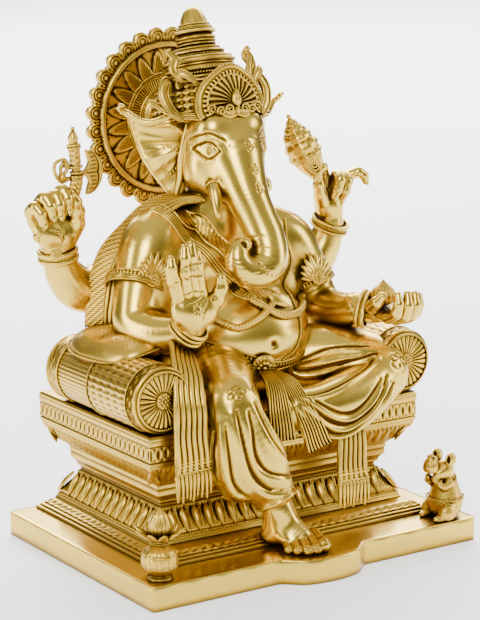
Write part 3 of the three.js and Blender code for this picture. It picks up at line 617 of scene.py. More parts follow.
def hollow_of(verts, faces, spread=2.2):
    """How hollow the surface is at each vertex, 0 to 1, from its own neighbours at two scales."""
    normal = normals_of(verts, faces)
    edge = np.linalg.norm(verts[faces[:, 0]] - verts[faces[:, 1]], axis=1).mean()
    count = np.maximum(np.bincount(faces.ravel(), minlength=len(verts)), 1)
    smooth, out = verts, np.zeros(len(verts))
    for rounds, weight in ((2, 1.0), (6, 0.8)):
        smooth = relax(smooth, faces, rounds, 0.8)
        depth = np.einsum("ij,ij->i", smooth - verts, normal) / edge
        out += weight * np.clip(depth * spread, -0.3, 1)
    for _ in range(2):
        average = out[faces].mean(1)
        total = np.zeros(len(verts))
        for c in range(4):
            np.add.at(total, faces[:, c], average)
        out = 0.5 * out + 0.5 * total / count
    return np.clip(out, 0, 1)


def piece(name, mesh, replaces=(), slot="antique_brass", spread=2.2):
    """One brass piece of the statue, from vertices in millimetres."""
    verts, faces = outward(mesh)
    data = bpy.data.meshes.new(name)
    data.vertices.add(len(verts))
    data.vertices.foreach_set("co", (verts / 1000).astype(np.float32).ravel())
    data.loops.add(len(faces) * 4)
    data.loops.foreach_set("vertex_index", faces.astype(np.int32).ravel())
    data.polygons.add(len(faces))
    data.polygons.foreach_set("loop_start", np.arange(0, len(faces) * 4, 4, dtype=np.int32))
    data.polygons.foreach_set("use_smooth", np.ones(len(faces), bool))
    data.update(calc_edges=True)
    mark = data.attributes.new("hollow", "FLOAT", "POINT")
    mark.data.foreach_set("value", hollow_of(verts, faces, spread).astype(np.float32))
    data.materials.append(MATERIALS[slot])
    obj = bpy.data.objects.new(name, data)
    bpy.context.collection.objects.link(obj)
    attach(obj, "root")
    if replaces:
        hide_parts(*replaces)
    return obj


# ---------------------------------------------------------------- camera, lights and floor


VIEW_AZIMUTH = -33.9  # degrees, to the figure's right
VIEW_ELEVATION = 12.12  # degrees
VIEW_DISTANCE = 3.0  # metres
VIEW_LENS = 121.4  # millimetres, on a 36 mm sensor
VIEW_AIM = (-0.00208, 0.32481)  # metres right and up from the seat's centre
FLOOR_HALF = 14.0  # metres


def camera():
    """The photograph's view: 3 m away, 34 degrees to the figure's right, a little above."""
    azimuth, elevation = math.radians(VIEW_AZIMUTH), math.radians(VIEW_ELEVATION)
    back = Vector(
        (
            math.sin(azimuth) * math.cos(elevation), -math.cos(azimuth) * math.cos(elevation),
            math.sin(elevation)
        )
    )
    right = Vector((math.cos(azimuth), math.sin(azimuth), 0))
    up = back.cross(right)
    cam = bpy.data.cameras.new("camera")
    cam.sensor_width = 36
    cam.sensor_fit = "AUTO"
    cam.lens = VIEW_LENS
    obj = bpy.data.objects.new("camera", cam)
    place = right * VIEW_AIM[0] + up * VIEW_AIM[1] + back * VIEW_DISTANCE + Vector((0, 0.015, 0))
    obj.matrix_world = Matrix(
        (
            (right.x, up.x, back.x, place.x), (right.y, up.y, back.y, place.y),
            (right.z, up.z, back.z, place.z), (0, 0, 0, 1)
        )
    )
    bpy.context.collection.objects.link(obj)
    bpy.context.scene.camera = obj


def light(name, place, target, size, power, colour=(1, 1, 1)):
    """A rectangular soft box."""
    data = bpy.data.lights.new(name, "AREA")
    data.shape = "RECTANGLE"
    data.size, data.size_y = size
    data.energy = power
    data.color = colour
    obj = bpy.data.objects.new(name, data)
    obj.location = place
    obj.rotation_euler = (Vector(target) - Vector(place)).to_track_quat("-Z", "Y").to_euler()
    bpy.context.collection.objects.link(obj)


def studio():
    """Pale floor and sky, with soft boxes for the brass to reflect."""
    world = bpy.data.worlds.new("studio")
    bpy.context.scene.world = world
    world.use_nodes = True
    tree = world.node_tree
    sky = tree.nodes["Background"]
    place = shader_node(tree, "TexCoord")
    split = shader_node(tree, "SeparateXYZ")
    horizon, shoulder = (0.50, (0.10, 0.09, 0.08)), (0.68, (0.30, 0.29, 0.28))
    ramp = tones(tree, (0.30, 0.29, 0.27), (1, 1, 1), horizon, shoulder)
    span = shader_node(tree, "MapRange", From_Min=-1)
    link(tree, place.outputs["Generated"], split.inputs[0])
    link(tree, split.outputs["Z"], span.inputs["Value"])
    link(tree, span.outputs["Result"], ramp.inputs["Fac"])
    link(tree, ramp.outputs["Color"], sky.inputs["Color"])
    sky.inputs["Strength"].default_value = 0.9

    lines = np.linspace(-FLOOR_HALF, FLOOR_HALF, 9)
    rows = np.array([[(x, y, -0.0005) for x in lines] for y in lines])
    verts, faces = grid(rows * 1000, closed_columns=False)
    data = bpy.data.meshes.new("floor")
    data.from_pydata([tuple(v / 1000) for v in verts], [], [tuple(int(i) for i in f) for f in faces])
    glow = dict(Emission_Color=(1, 1, 1, 1), Emission_Strength=0.85)
    pale, tree, shader = material("floor", Roughness=0.7, **glow)
    mottle = shader_node(tree, "TexNoise", Scale=3)
    tone = tones(tree, (0.86, 0.86, 0.86), (0.92, 0.92, 0.92))
    link(tree, mottle.outputs["Fac"], tone.inputs["Fac"])
    link(tree, tone.outputs["Color"], shader.inputs["Base Color"])
    data.materials.append(pale)
    obj = bpy.data.objects.new("floor", data)
    bpy.context.collection.objects.link(obj)

    middle = (0, 0, 0.38)
    light("key", (-1.9, -2.3, 2.4), middle, (1.3, 1.6), 85)
    light("left_strip", (-2.6, 0.3, 0.9), middle, (0.5, 2.2), 40)
    light("right_fill", (2.4, -1.5, 1.3), middle, (0.9, 2.0), 42)
    light("rim", (1.0, 2.3, 2.1), middle, (1.6, 1.0), 45)
    light("floor_wash", (4.2, 6.2, 4.0), (4.2, 6.2, 0), (9.0, 9.0), 2200)


# ---------------------------------------------------------------- base and throne


def rectangle(half, front, rear, step):
    """Points round a rectangle, evenly spaced on each side, with their outward directions."""
    corners = [(half, front), (half, rear), (-half, rear), (-half, front)]
    points, outs = [], []
    for k, (x, y) in enumerate(corners):
        nx, ny = corners[(k + 1) % 4]
        count = int(round(math.hypot(nx - x, ny - y) / step))
        t = np.arange(count)[:, None] / count
        points.append(np.array([x, y]) * (1 - t) + np.array([nx, ny]) * t)
        outs.append(np.repeat(unit([[ny - y, x - nx]]), count, 0))
    return np.vstack(points), np.vstack(outs)


def inner_loop(points, half, front, rear):
    """Where the rays from the middle to an outline's points cross a smaller rectangle."""
    x, y = points[:, 0], points[:, 1]
    reach = np.minimum(
        half / np.maximum(np.abs(x), 1e-6), np.where(y > 0, rear, -front) / np.maximum(np.abs(y), 1e-6)
    )
    return points * np.minimum(reach, 1)[:, None]


def plate_outline():
    """The plate's edge with its rounded tongue, from the CAD plate's own box."""
    half, rear, tongue = PLATE_HIGH[0], PLATE_HIGH[1], PLATE_LOW[1]
    front, lobe, r = tongue + 30, 74.0, 6.0
    corner = lambda cx, cy, start: [
        (cx + r * math.cos(a), cy + r * math.sin(a))
        for a in np.radians(np.linspace(start, start + 90, 6))
    ]
    flow = spline(
        [
            (-lobe - 4, front), (-lobe + 4, front - 1), (-lobe + 14, front - 9),
            (-lobe * 0.55, tongue + 6), (0, tongue), (lobe * 0.55, tongue + 6), (lobe - 14, front - 9),
            (lobe - 4, front - 1), (lobe + 4, front)
        ],
        60
    )
    points = (
        corner(half - r, rear - r, 0) + corner(-half + r, rear - r, 90)
        + corner(-half + r, front + r, 180)
    )
    points += [tuple(p) for p in flow] + corner(half - r, front + r, 270)
    path = resample([(*p, 0) for p in points + points[:1]], 3.0)[:-1]
    along = np.roll(path, -1, 0) - np.roll(path, 1, 0)
    return path[:, :2], unit(np.stack([along[:, 1], -along[:, 0]], -1))


def base_plate():
    """Sawn and filed plate: crisp top edge, slightly uneven faces, a hollow tray underneath."""
    path, out = plate_outline()
    ripple = 0.12 * np.sin(np.linspace(0, 40 * TAU, len(path)))[:, None]
    core = inner_loop(path, 185, -88, 160)
    edge = [
        (-6, 0), (-0.5, 0), (0, 0.6), (0.2, 12), (0.1, 24), (0, PLATE_TOP - 1.6), (-0.5, PLATE_TOP - 0.5),
        (-1.7, PLATE_TOP)
    ]
    rows = [
        np.column_stack([path + out * (o + ripple * (0 < i < 6)), np.full(len(path), z)])
        for i, (o, z) in enumerate(edge)
    ]
    for share in (0.06, 0.3, 0.6, 1.0):
        rows.append(
            np.column_stack(
                [(path - out * 1.7) * (1 - share) + core * share, np.full(len(path), PLATE_TOP)]
            )
        )
    for share, inset in ((1.0, 0), (0.4, 6), (0.0, 6)):
        rows.append(
            np.column_stack(
                [(path - out * inset) * (1 - share) + core * share, np.full(len(path), PLATE_TOP - 6)]
            )
        )
    return grid(rows, closed_rows=True)


def tier(box, outside, wall=6.0, count=40, step=1.6, relief=None):
    """One hollow moulded casting round a rectangle. outside is (outset, z) from its top down."""
    half, front, rear = box
    face = spline(outside, count)
    most = face[:, 0].max() + 2
    path, _ = rectangle(half + most, front - most, rear + most, step)
    length = np.arange(len(path)) * step
    extra = np.array([relief(length, i / (count - 1)) if relief else 0 * length for i in range(count)])
    inside = [(outside[-1][0] - wall, outside[-1][1]), (outside[0][0] - wall - 3, outside[0][1])]
    rows = []
    for o, z in [(face[i, 0] + extra[i], face[i, 1]) for i in range(count)] + inside:
        x, y = np.clip(path[:, 0], -half - o, half + o), np.clip(path[:, 1], front - o, rear + o)
        rows.append(np.column_stack([x, y, np.full(len(path), z)]))
    return grid(rows, closed_rows=True)


def round_throne(box, inset, pitch):
    """Places along the throne's four sides and at its corners, as (place, outward, is corner)."""
    half, front, rear = box[0] - inset, box[1] + inset, box[2] - inset
    corners = [(half, front), (half, rear), (-half, rear), (-half, front)]
    for k, (x, y) in enumerate(corners):
        nx, ny = corners[(k + 1) % 4]
        length = math.hypot(nx - x, ny - y)
        count = int(length // pitch)
        out = unit([ny - y, x - nx, 0])
        for i in range(count):
            t = 0.5 + (i - (count - 1) / 2) * pitch / length
            yield np.array([x * (1 - t) + nx * t, y * (1 - t) + ny * t, 0.0]), out, False
        yield np.array([x, y, 0.0]), unit([x, math.copysign(abs(x), y - (front + rear) / 2), 0]), True


def petals_round(box, pitch, top, bottom, width, lift, ribs=2):
    """Hanging petals. top and bottom are (outset, z) of their root and tip."""
    made = []
    for place, out, corner in round_throne(box, -top[0], pitch):
        stretch = math.sqrt(2) if corner else 1
        root = place + np.array([0, 0, top[1]])
        tip = place + out * (bottom[0] - top[0]) * stretch + np.array([0, 0, bottom[1]])
        d = unit(tip - root)
        normal = unit(out - d * np.dot(out, d))
        made.append(leaf(root, d, normal, np.linalg.norm(tip - root), width, lift, ribs))
    return merge(made)


def around(box, inset, z, step):
    """A level path round the throne."""
    path, _ = rectangle(box[0] - inset, box[1] + inset, box[2] - inset, step)
    return np.column_stack([path, np.full(len(path), z)])


def string_of(box, inset, z, radius):
    """A string of beads round a rectangle."""
    return beads(around(box, inset, z, 2.0), radius, 1.05)


def throne():
    """Plinth, lotus tiers, waist and seat slab, each with its own chasing."""
    box = (SLAB_HIGH[0] - 1, SLAB_LOW[1] + 1, SLAB_HIGH[1] - 1)
    z0 = PLATE_TOP
    p_low, p_high = node("throne_plinth")
    scroll = lambda s, t: 0.9 * np.sin(
        s / 15 * TAU + 5 * t
    ) * np.sin(t * math.pi) ** 0.5 * np.cos(t * 9 + s / 30)
    plinth = tier(
        (p_high[0], p_low[1], p_high[1]),
        [
            (-21, z0 + 16), (-18, z0 + 15.5), (-13, z0 + 12), (-10, z0 + 10.5), (-9.5, z0 + 8.5),
            (-5, z0 + 8), (-4.6, z0 + 5), (-0.8, z0 + 4.6), (0, z0 + 2), (0, z0 + 0.2)
        ],
        wall=30, count=44, relief=lambda s, t: scroll(s, (t - 0.05) / 0.4) if 0.05 < t < 0.45 else 0 * s
    )
    piece("throne_plinth_cast", plinth, ["throne_plinth"])

    low = tier(
        box,
        [
            (-39, z0 + 60), (-37, z0 + 52), (-30, z0 + 44), (-24, z0 + 36), (-20, z0 + 31),
            (-19, z0 + 26), (-16, z0 + 23), (-15, z0 + 20), (-13, z0 + 16.3)
        ],
        count=44, relief=lambda s, t: 0.5 * np.sin(s / 5 * TAU) * (t < 0.55) - 0.6 * (0.72 < t < 0.78)
    )
    tongues = petals_round(box, 19, (-34, z0 + 57), (-16.5, z0 + 27), 13, 0.30, 1)
    rods = []
    for place, out, corner in round_throne(box, 36, 19):
        side = np.array([-out[1], out[0], 0])
        for shift in () if corner else (9.5, 6.9):
            a = place + side * shift + np.array([0, 0, z0 + 58])
            b = place + side * shift + out * 16 + np.array([0, 0, z0 + 30])
            rods.append(tube([a, (a + b) / 2 - out * 2, b], [0.8, 1.2, 1.4], 6))
    beads_low = string_of(box, 17.5, z0 + 24, 1.9)
    piece("throne_lower_lotus_cast", merge([low, tongues, merge(rods), beads_low]), ["throne_lower_lotus"])

    waist = tier(
        box,
        [
            (-30, z0 + 96), (-29.5, z0 + 90), (-31, z0 + 88), (-30.5, z0 + 80), (-33, z0 + 78),
            (-37, z0 + 72), (-38, z0 + 68), (-41, z0 + 66), (-41, z0 + 62), (-39, z0 + 60.3)
        ],
        count=36, relief=lambda s, t: 0.25 * np.sin(s / 3.2 * TAU) * (0.05 < t < 0.16)
    )
    piece("throne_waist_cast", waist, ["throne_waist"])

    upper = tier(
        box,
        [
            (-1, z0 + 132), (-1.5, z0 + 128), (-5, z0 + 124), (-12, z0 + 116), (-20, z0 + 107),
            (-26, z0 + 100), (-29, z0 + 96.4)
        ],
        count=36, relief=lambda s, t: 0.5 * np.sin(s / 4 * TAU) * (t > 0.15)
    )
    hanging = petals_round(box, 15, (-3, z0 + 130), (-24, z0 + 101), 13.5, 0.22, 2)
    small = petals_round(box, 7.5, (-1.5, z0 + 131.5), (-7, z0 + 120), 6, 0.3, 1)
    piece("throne_upper_lotus_cast", merge([upper, hanging, small]), ["throne_upper_lotus"])

    def frieze(s, t):
        """The scroll pattern between two lines."""
        line = -0.9 * (abs(t - 0.30) < 0.02) - 0.9 * (abs(t - 0.78) < 0.02)
        field = 1.0 * np.sin(s / 12 * TAU) * math.cos((t - 0.54) * 13) if 0.34 < t < 0.74 else 0
        return line + field + 0.35 * np.cos(s / 6 * TAU) * (0.36 < t < 0.72)

    slab = tier(
        box,
        [
            (-46, SLAB_HIGH[2]), (-4, SLAB_HIGH[2]), (-1.2, SLAB_HIGH[2] - 0.8), (0.8, SLAB_HIGH[2] - 4),
            (0.8, SLAB_HIGH[2] - 10), (0, SLAB_HIGH[2] - 20), (0.4, SLAB_HIGH[2] - 34), (0, z0 + 132.3)
        ],
        count=66, relief=lambda s, t: frieze(s, (t - 0.5) * 2) if t > 0.5 else 0 * s
    )
    lips = [
        tube(around(box, -0.8, SLAB_HIGH[2] - 8, 3), 1.2, 6, closed=True),
        tube(around(box, -0.5, z0 + 136, 3), 1.1, 6, closed=True)
    ]
    piece("throne_seat_cast", merge([slab, *lips]), ["throne_seat_slab"])


def cushion():
    """The thin seat cushion: a soft-edged pad with a corded rim and a light diaper pattern on its top."""
    low, high = node("seat_cushion")
    half, front, rear = high[0], low[1], high[1]
    path, out = rectangle(half, front, rear, 2.5)
    core = path * 0.02 + np.array([0, (front + rear) / 2])
    rows = [
        np.column_stack([path + out * o, np.full(len(path), z)])
        for o, z in (
            (-3, low[2] + 0.2), (-0.6, low[2] + 1), (0, low[2] + 3), (-0.6, high[2] - 2),
            (-3, high[2] - 0.4)
        )
    ]
    for share in np.linspace(0.08, 1, 26):
        p = (path - out * 3) * (1 - share) + core * share
        weave = 0.25 * np.sin(p[:, 0] / 6 * TAU) * np.sin(p[:, 1] / 6 * TAU)
        rows.append(np.column_stack([p, high[2] - 0.3 + weave]))
    piece("seat_cushion_pad", grid(rows), ["seat_cushion"])


# ---------------------------------------------------------------- the figure

ARM_FR = [
    [-100, 66, 232, 40], [-126, 56, 214, 41], [-144, 46, 180, 37], [-164, 30, 138, 31],
    [-170, 18, 116, 30], [-158, -14, 108, 29], [-143, -44, 112, 24], [-134, -60, 120, 20]
]
ARM_FL = [
    [78, 64, 212, 40], [104, 56, 198, 40], [124, 50, 166, 36], [138, 38, 128, 32], [142, 22, 106, 31],
    [144, -10, 102, 29], [142, -42, 110, 24], [141, -66, 118, 20]
]
ARM_RR = [
    [-84, 92, 214, 36], [-122, 110, 182, 33], [-160, 124, 152, 33], [-196, 124, 150, 32],
    [-222, 121, 174, 27], [-235, 116, 205, 21]
]
ARM_RL = [
    [66, 92, 196, 36], [120, 113, 162, 33], [160, 118, 136, 33], [190, 115, 146, 31], [209, 108, 174, 26],
    [217, 104, 205, 21]
]


def body():
    """Torso and the four arms as one smooth casting: round belly, soft chest, heavy shoulders."""
    clay = Clay(at([-272, -95, -4])[0], at([256, 168, 312])[0], 2.3)
    add = lambda c, r, k=14, **more: clay.ball(at(c)[0], np.array(r) * K, k, **more)
    add((0, 42, 30), (104, 90, 42))
    add((2, 14, 84), (97, 86, 74), 22)
    add((-6, 54, 168), (92, 62, 74), 26)
    add((-12, 66, 226), (104, 44, 38), 24)
    for x, z in ((-50, 190), (36, 184)):
        add((x, 18, z), (42, 34, 32), 20)
    add((-128, 22, 58), (34, 56, 46), 16)
    add((-102, 52, 158), (50, 50, 70), 26)
    add((-108, 50, 112), (44, 46, 50), 26)
    add((84, 56, 140), (34, 44, 62), 24)
    clay.limb(at([[-14, 60, 300, 44], [-13, 56, 262, 50], [-12, 62, 236, 56]]), 18)
    for arm in (ARM_FR, ARM_FL, ARM_RR, ARM_RL):
        clay.limb(at(arm), 14)
    clay.ball(at((-3, -73, 84))[0], (6, 6, 4.5), 6, cut_out=True)  # navel
    clay.limb(
        at([[-60, -48, 158, 2.2], [-30, -50, 148, 2.6], [10, -50, 146, 2.6], [52, -46, 156, 2.2]]), 7,
        cut_out=True
    )
    clay.floor(CUSHION_TOP)
    v, f = clay.skin()
    v = relax(v, f, 3, 0.6)
    n = normals_of(v, f)
    for bend in (ARM_FR[4], ARM_FL[4]):  # elbow creases
        x, y, z, r = bend
        v = chase(
            v, n, at([[x + 26, y - 18, z + 34], [x + 10, y - 22, z + 30], [x - 8, y - 20, z + 32]]), 3,
            -1.6
        )
    v = chase(v, n, at(spline([[-96, 20, 176], [-70, -14, 158], [-52, -26, 154]], 10)), 4, -2.2)
    v = chase(v, n, at(spline([[-30, -66, 70], [-4, -70, 62], [22, -66, 68]], 10)), 4, -1.3)
    piece(
        "body_and_arms", (v, f),
        ["torso", "arm_front_right", "arm_front_left", "arm_rear_right", "arm_rear_left"],
        "polished_brass"
    )
    return Skin(v, f)


def folds(v, n, lines, width, depth):
    """Cloth folds: each line is laid on the surface and raised along it; a depth below zero cuts a groove
    instead.
    """
    for line in lines:
        path = relax_path(drop_on(v, spline(at(line), 40)), 12)
        v = chase(v, n, path, width, depth)
    return v


def legs():
    """The dhoti-clad legs: one hanging with its foot out, the other folded across the seat."""
    clay = Clay(at([-152, -190, -146])[0], at([30, 62, 100])[0], 1.8)
    clay.limb(at([[-44, 34, 36, 54], [-68, -30, 38, 50], [-88, -78, 28, 42], [-96, -98, 20, 37]]), 12)
    clay.limb(
        at(
            [
                [-96, -98, 20, 36], [-100, -108, 0, 34], [-103, -112, -30, 33], [-103, -113, -60, 32],
                [-94, -116, -86, 28]
            ]
        ),
        10
    )
    clay.limb(
        at(
            [
                [-86, -100, 16, 30], [-74, -112, -24, 34], [-60, -118, -58, 36], [-50, -122, -86, 32],
                [-42, -125, -102, 28]
            ]
        ),
        12
    )
    clay.limb(at([[-98, -112, -66, 28], [-70, -120, -90, 27], [-46, -125, -104, 26]]), 10)
    v, f = clay.skin()
    v = relax(v, f, 3, 0.6)
    n = normals_of(v, f)
    # long folds that fall from the knee and swing inwards to the hem
    swings = [
        [
            [-118, -138, 15], [-112, -140, -20], [-106, -142, -48], [-94, -142, -78], [-70, -140, -99],
            [-40, -138, -104]
        ],
        [[-100, -134, 12], [-97, -138, -9], [-94, -142, -44], [-76, -144, -73], [-36, -140, -88]],
        [[-86, -132, 22], [-76, -140, 0], [-66, -144, -28], [-50, -144, -51], [-30, -138, -68]],
        [[-132, -132, -4], [-129, -134, -46], [-122, -134, -84], [-100, -136, -104]],
        [[-142, -120, -15], [-144, -120, -50], [-140, -120, -85]],
        [[-78, -128, 40], [-66, -136, 14], [-54, -138, -12], [-38, -136, -38]],
    ]
    v = folds(v, n, swings, 6.5, 3.4)
    v = folds(v, n, [[[p[0] + 7, p[1], p[2] + 4] for p in s] for s in swings], 3.0, -3.8)
    petals = [[-108 + 11 * math.cos(a), -128, 50 + 11 * math.sin(a)] for a in np.linspace(0, TAU, 6)[:-1]]
    for p in petals:
        ring = at(
            [
                [p[0] + 6.5 * math.cos(a), p[1] - 8, p[2] + 6.5 * math.sin(a)]
                for a in np.linspace(0, TAU, 14)
            ]
        )
        v = chase(v, n, drop_on(v, ring), 0.9, -1.1, False)
    piece("leg_right_dhoti", (v, f), ["leg_right_hanging"], "polished_brass")

    clay = Clay(at([-46, -160, -52])[0], at([216, 62, 100])[0], 1.8)
    clay.limb(at([[44, 34, 34, 52], [100, -18, 40, 50], [150, -60, 38, 45], [170, -80, 28, 42]]), 12)
    clay.limb(
        at(
            [
                [168, -84, 22, 40], [130, -98, 8, 38], [84, -104, -2, 36], [40, -104, -6, 32],
                [2, -98, -2, 28]
            ]
        ),
        10
    )
    clay.limb(at([[150, -98, -2, 26], [110, -112, -22, 22], [72, -116, -32, 19], [40, -112, -30, 16]]), 12)
    v, f = clay.skin()
    v = relax(v, f, 3, 0.6)
    n = normals_of(v, f)
    sweeps = [
        [[10, -63, 54], [64, -58, 52], [98, -74, 64], [140, -96, 62]],
        [[16, -58, 40], [58, -50, 24], [92, -74, 34], [124, -99, 48], [150, -104, 50]],
        [
            [-41, -114, 48], [-8, -120, 26], [26, -124, 14], [66, -124, 16], [112, -118, 34],
            [146, -106, 48]
        ],
        [
            [-10, -124, 24], [14, -130, 2], [38, -132, -22], [70, -134, -36], [100, -130, -24],
            [124, -126, -6], [146, -116, 16]
        ],
        [
            [0, -116, 6], [18, -124, -20], [44, -132, -44], [68, -134, -48], [98, -132, -36],
            [132, -126, -10], [156, -112, 10]
        ],
        [[20, -128, 10], [46, -134, -10], [76, -136, -20], [104, -130, -8], [134, -122, 14]],
    ]
    v = folds(v, n, sweeps, 4.4, 4.4)
    v = folds(v, n, [[[p[0], p[1], p[2] + 8] for p in s] for s in sweeps], 2.6, -4.4)
    for a in np.linspace(0, TAU, 6)[:-1]:
        c = [176 + 9 * math.cos(a), -112, 44 + 10 * math.sin(a)]
        ring = at([[c[0] + 6 * math.cos(b), c[1], c[2] + 6 * math.sin(b)] for b in np.linspace(0, TAU, 14)])
        v = chase(v, n, drop_on(v, ring), 0.9, -1.1, False)
    piece("leg_left_dhoti", (v, f), ["leg_left_folded", "dhoti_swag"], "polished_brass")


def drop_on(verts, path):
    """Moves a path's points to the nearest vertices of a surface."""
    path = np.asarray(path, float)
    return np.array([verts[np.argmin(((verts - p) ** 2).sum(1))] for p in path])


TRUNK = [
    [-14, 16, 336, 44], [-15, -2, 312, 36], [-14, -20, 284, 30], [-9, -36, 256, 27], [-4, -50, 228, 27],
    [-8, -62, 202, 27], [-24, -66, 188, 25], [-44, -64, 189, 22], [-57, -61, 203, 18],
    [-54, -58, 220, 14], [-44, -57, 224, 11]
]


def head():
    """Broad forehead running into the trunk, which curls to the figure's right; engraved eyes."""
    clay = Clay(at([-96, -100, 160])[0], at([70, 142, 432])[0], 1.6)
    add = lambda c, r, k=14: clay.ball(at(c)[0], np.array(r) * K, k)
    add((MID, 74, 356), (62, 64, 58))
    add((MID, 40, 356), (52, 42, 50), 18)
    for s in (-1, 1):
        add((MID + s * 24, 26, 372), (28, 26, 26), 18)
        add((MID + s * 33, 46, 316), (28, 38, 36), 20)
        add((MID + s * 26, 14, 296), (17, 22, 20), 16)
    clay.limb(at(TRUNK), 12)
    clay.ball(at((MID, 20, 268))[0], np.array((22, 20, 16)) * K, 10)
    clay.ball(at((-50, -66, 228))[0], (5, 5, 7), 4, cut_out=True)
    v, f = clay.skin()
    v = relax(v, f, 3, 0.6)
    n = normals_of(v, f)
    for s in (-1, 1):
        side = (lambda p: p) if s < 0 else mirrored
        upper = spline(side([[-45, -3, 345], [-54, 2, 355], [-62, 11, 357], [-72, 30, 348]]), 24)
        lower = spline(side([[-45, -3, 345], [-53, 2, 338], [-61, 11, 336], [-72, 30, 348]]), 24)
        for line, width, depth in ((upper, 1.4, -2.2), (lower, 1.4, -2.0)):
            v = chase(v, n, drop_on(v, at(line)), width, depth, False)
        v = chase(v, n, drop_on(v, at(upper + [0, 0, 4])), 1.8, 1.4)
        v = chase(v, n, drop_on(v, at(lower - [0, 0, 4])), 1.8, 1.0)
        pupil = side(
            [[-58 + 4.6 * math.cos(a), 7, 347 + 4.6 * math.sin(a)] for a in np.linspace(0, TAU, 16)]
        )
        v = chase(v, n, drop_on(v, at(pupil)), 0.8, -1.2, False)
        brow = spline(side([[-36, -8, 352], [-46, -3, 364], [-60, 8, 370], [-75, 34, 361]]), 24)
        v = chase(v, n, drop_on(v, at(brow)), 1.6, -1.8)
        v = chase(v, n, drop_on(v, at(brow - [0, 0, 4])), 2.2, 1.5)
        socket = spline(side([[-40, -6, 300], [-50, -8, 306], [-60, -2, 304]]), 10)
        v = chase(v, n, drop_on(v, at(socket)), 3.0, 2.2)
    # chased dots down the trunk's far side, and flowers on the brow
    for c in ([-14, -22, 352], [-13, -34, 322], [-12, -46, 298]):
        for a in np.linspace(0, TAU, 5)[:-1]:
            ring = [
                [
                    c[0] + 5 * math.cos(a) + 2.6 * math.cos(b), c[1],
                    c[2] + 5 * math.sin(a) + 2.6 * math.sin(b)
                ]
                for b in np.linspace(0, TAU, 10)
            ]
            v = chase(v, n, drop_on(v, at(ring)), 0.7, -0.9, False)
    for x, y, z, r in spline(TRUNK, 40)[14:30]:
        spot = at(
            [
                [x + 0.78 * r + 2 * math.cos(a), y - 0.62 * r, z + 2 * math.sin(a)]
                for a in np.linspace(0, TAU, 8)
            ]
        )
        v = chase(v, n, drop_on(v, spot), 0.8, -0.9, False)
    for x, y, z, r in spline(TRUNK, 60)[22:50:3]:  # soft wrinkles under the trunk
        across = at(
            [
                [x - r * 0.9, y + 4, z - r * 0.1], [x - r * 0.6, y - r * 0.5, z - 2],
                [x - r * 0.2, y - r * 0.85, z - 2]
            ]
        )
        v = chase(v, n, drop_on(v, spline(across, 8)), 1.6, -0.5)
    line = [
        [-73, 76, 376], [-68, 55, 383], [-64, 34, 390], [-56, 26, 397], [-47, 19, 400], [-38, 11, 398],
        [-27, 5, 393], [-14, 6, 396]
    ]
    brow_band = resample(spline(at(np.vstack([line, mirrored(line[:-1])[::-1]])), 160), 1.0)
    bands = (
        [rope(brow_band + (0, -1.5, dz), 2.4, 3, 7) for dz in (-2.5, 3.5)]
        + [beads(brow_band + (0, -3, 0.5), 1.5, 1.1)]
    )
    piece("head_and_trunk_cast", merge([(v, f), *bands]), ["head_and_trunk"], "polished_brass")


# ---------------------------------------------------------------- crown and halo

LEAN = math.radians(14)
CROWN_BASE = np.array([MID, 82, 380.0])


def crown_at(points):
    """Points of the crown's own leaning frame, in row millimetres."""
    p = np.atleast_2d(np.array(points, float))
    c, s = math.cos(LEAN), math.sin(LEAN)
    return at(CROWN_BASE + np.stack([p[:, 0], p[:, 1] * c + p[:, 2] * s, -p[:, 1] * s + p[:, 2] * c], -1))


def crown_turned(profile, segments=96, wave=None):
    """A turned casting of the crown, ring by ring."""
    v, f = turned(profile, (0, 0, 0), segments, wave=wave)
    return crown_at(v), f


def crown_band(radius, z, kind, size=1.6, sides=6):
    """A ring of the crown: a cord, a plain wire or a string of beads."""
    turn = np.linspace(0, TAU, 120)
    path = crown_at(np.column_stack([radius * np.cos(turn), radius * np.sin(turn), np.full(120, z)]))
    if kind == "cord":
        return rope(path, size, 2, size * 4.2, 5)
    if kind == "beads":
        return beads(path, size, 1.02)
    return tube(path[:-1], size, sides, closed=True)


def crown_tower():
    """The stepped tower of collars and cords, and its leaf-engraved cone."""
    low = [
        (46, 62), (50, 64), (51, 68), (48, 71), (46.5, 74), (48, 76), (49, 80), (46, 83), (38, 85),
        (33, 88), (35, 90), (35.5, 93), (31, 96), (27, 99), (25.5, 104), (26, 109), (27, 112), (24, 116),
        (22, 117.6)
    ]
    rings = [
        crown_band(50.5, 66, "cord", 2.3), crown_band(48, 73, "wire", 1.5),
        crown_band(49.5, 78, "cord", 2.1), crown_band(46.5, 83, "wire", 1.3),
        crown_band(37, 87, "beads", 1.6), crown_band(36.5, 91.5, "wire", 1.6),
        crown_band(31, 97, "cord", 1.7), crown_band(26.8, 103, "wire", 1.2),
        crown_band(26.4, 107.5, "cord", 1.6), crown_band(27.5, 112, "wire", 1.3)
    ]
    piece("crown_tower_cast", merge([crown_turned(low), *rings]), ["crown_tower"])
    leaves = lambda turn, t: 1 + 0.05 * np.abs(np.sin(4 * turn + 2.2 * t)) * (0.45 < t < 0.97)
    cone = [
        (24, 118.2), (26.5, 119), (27.5, 121), (24.5, 124), (22, 126.5), (20.5, 129), (19.5, 132),
        (18.2, 136), (16.6, 141), (14.4, 146), (11.5, 151), (7.6, 155), (3.6, 157.4), (0.4, 158)
    ]
    bands = [
        crown_band(28, 120.5, "wire", 1.9), crown_band(25.2, 124.5, "beads", 1.3),
        crown_band(23, 127.5, "cord", 1.5), crown_band(21.4, 131.2, "cord", 1.4)
    ]
    fine = spline(cone, 60)
    piece("crown_finial_cast", merge([crown_turned(fine, 96, leaves), *bands]), ["crown_finial"])


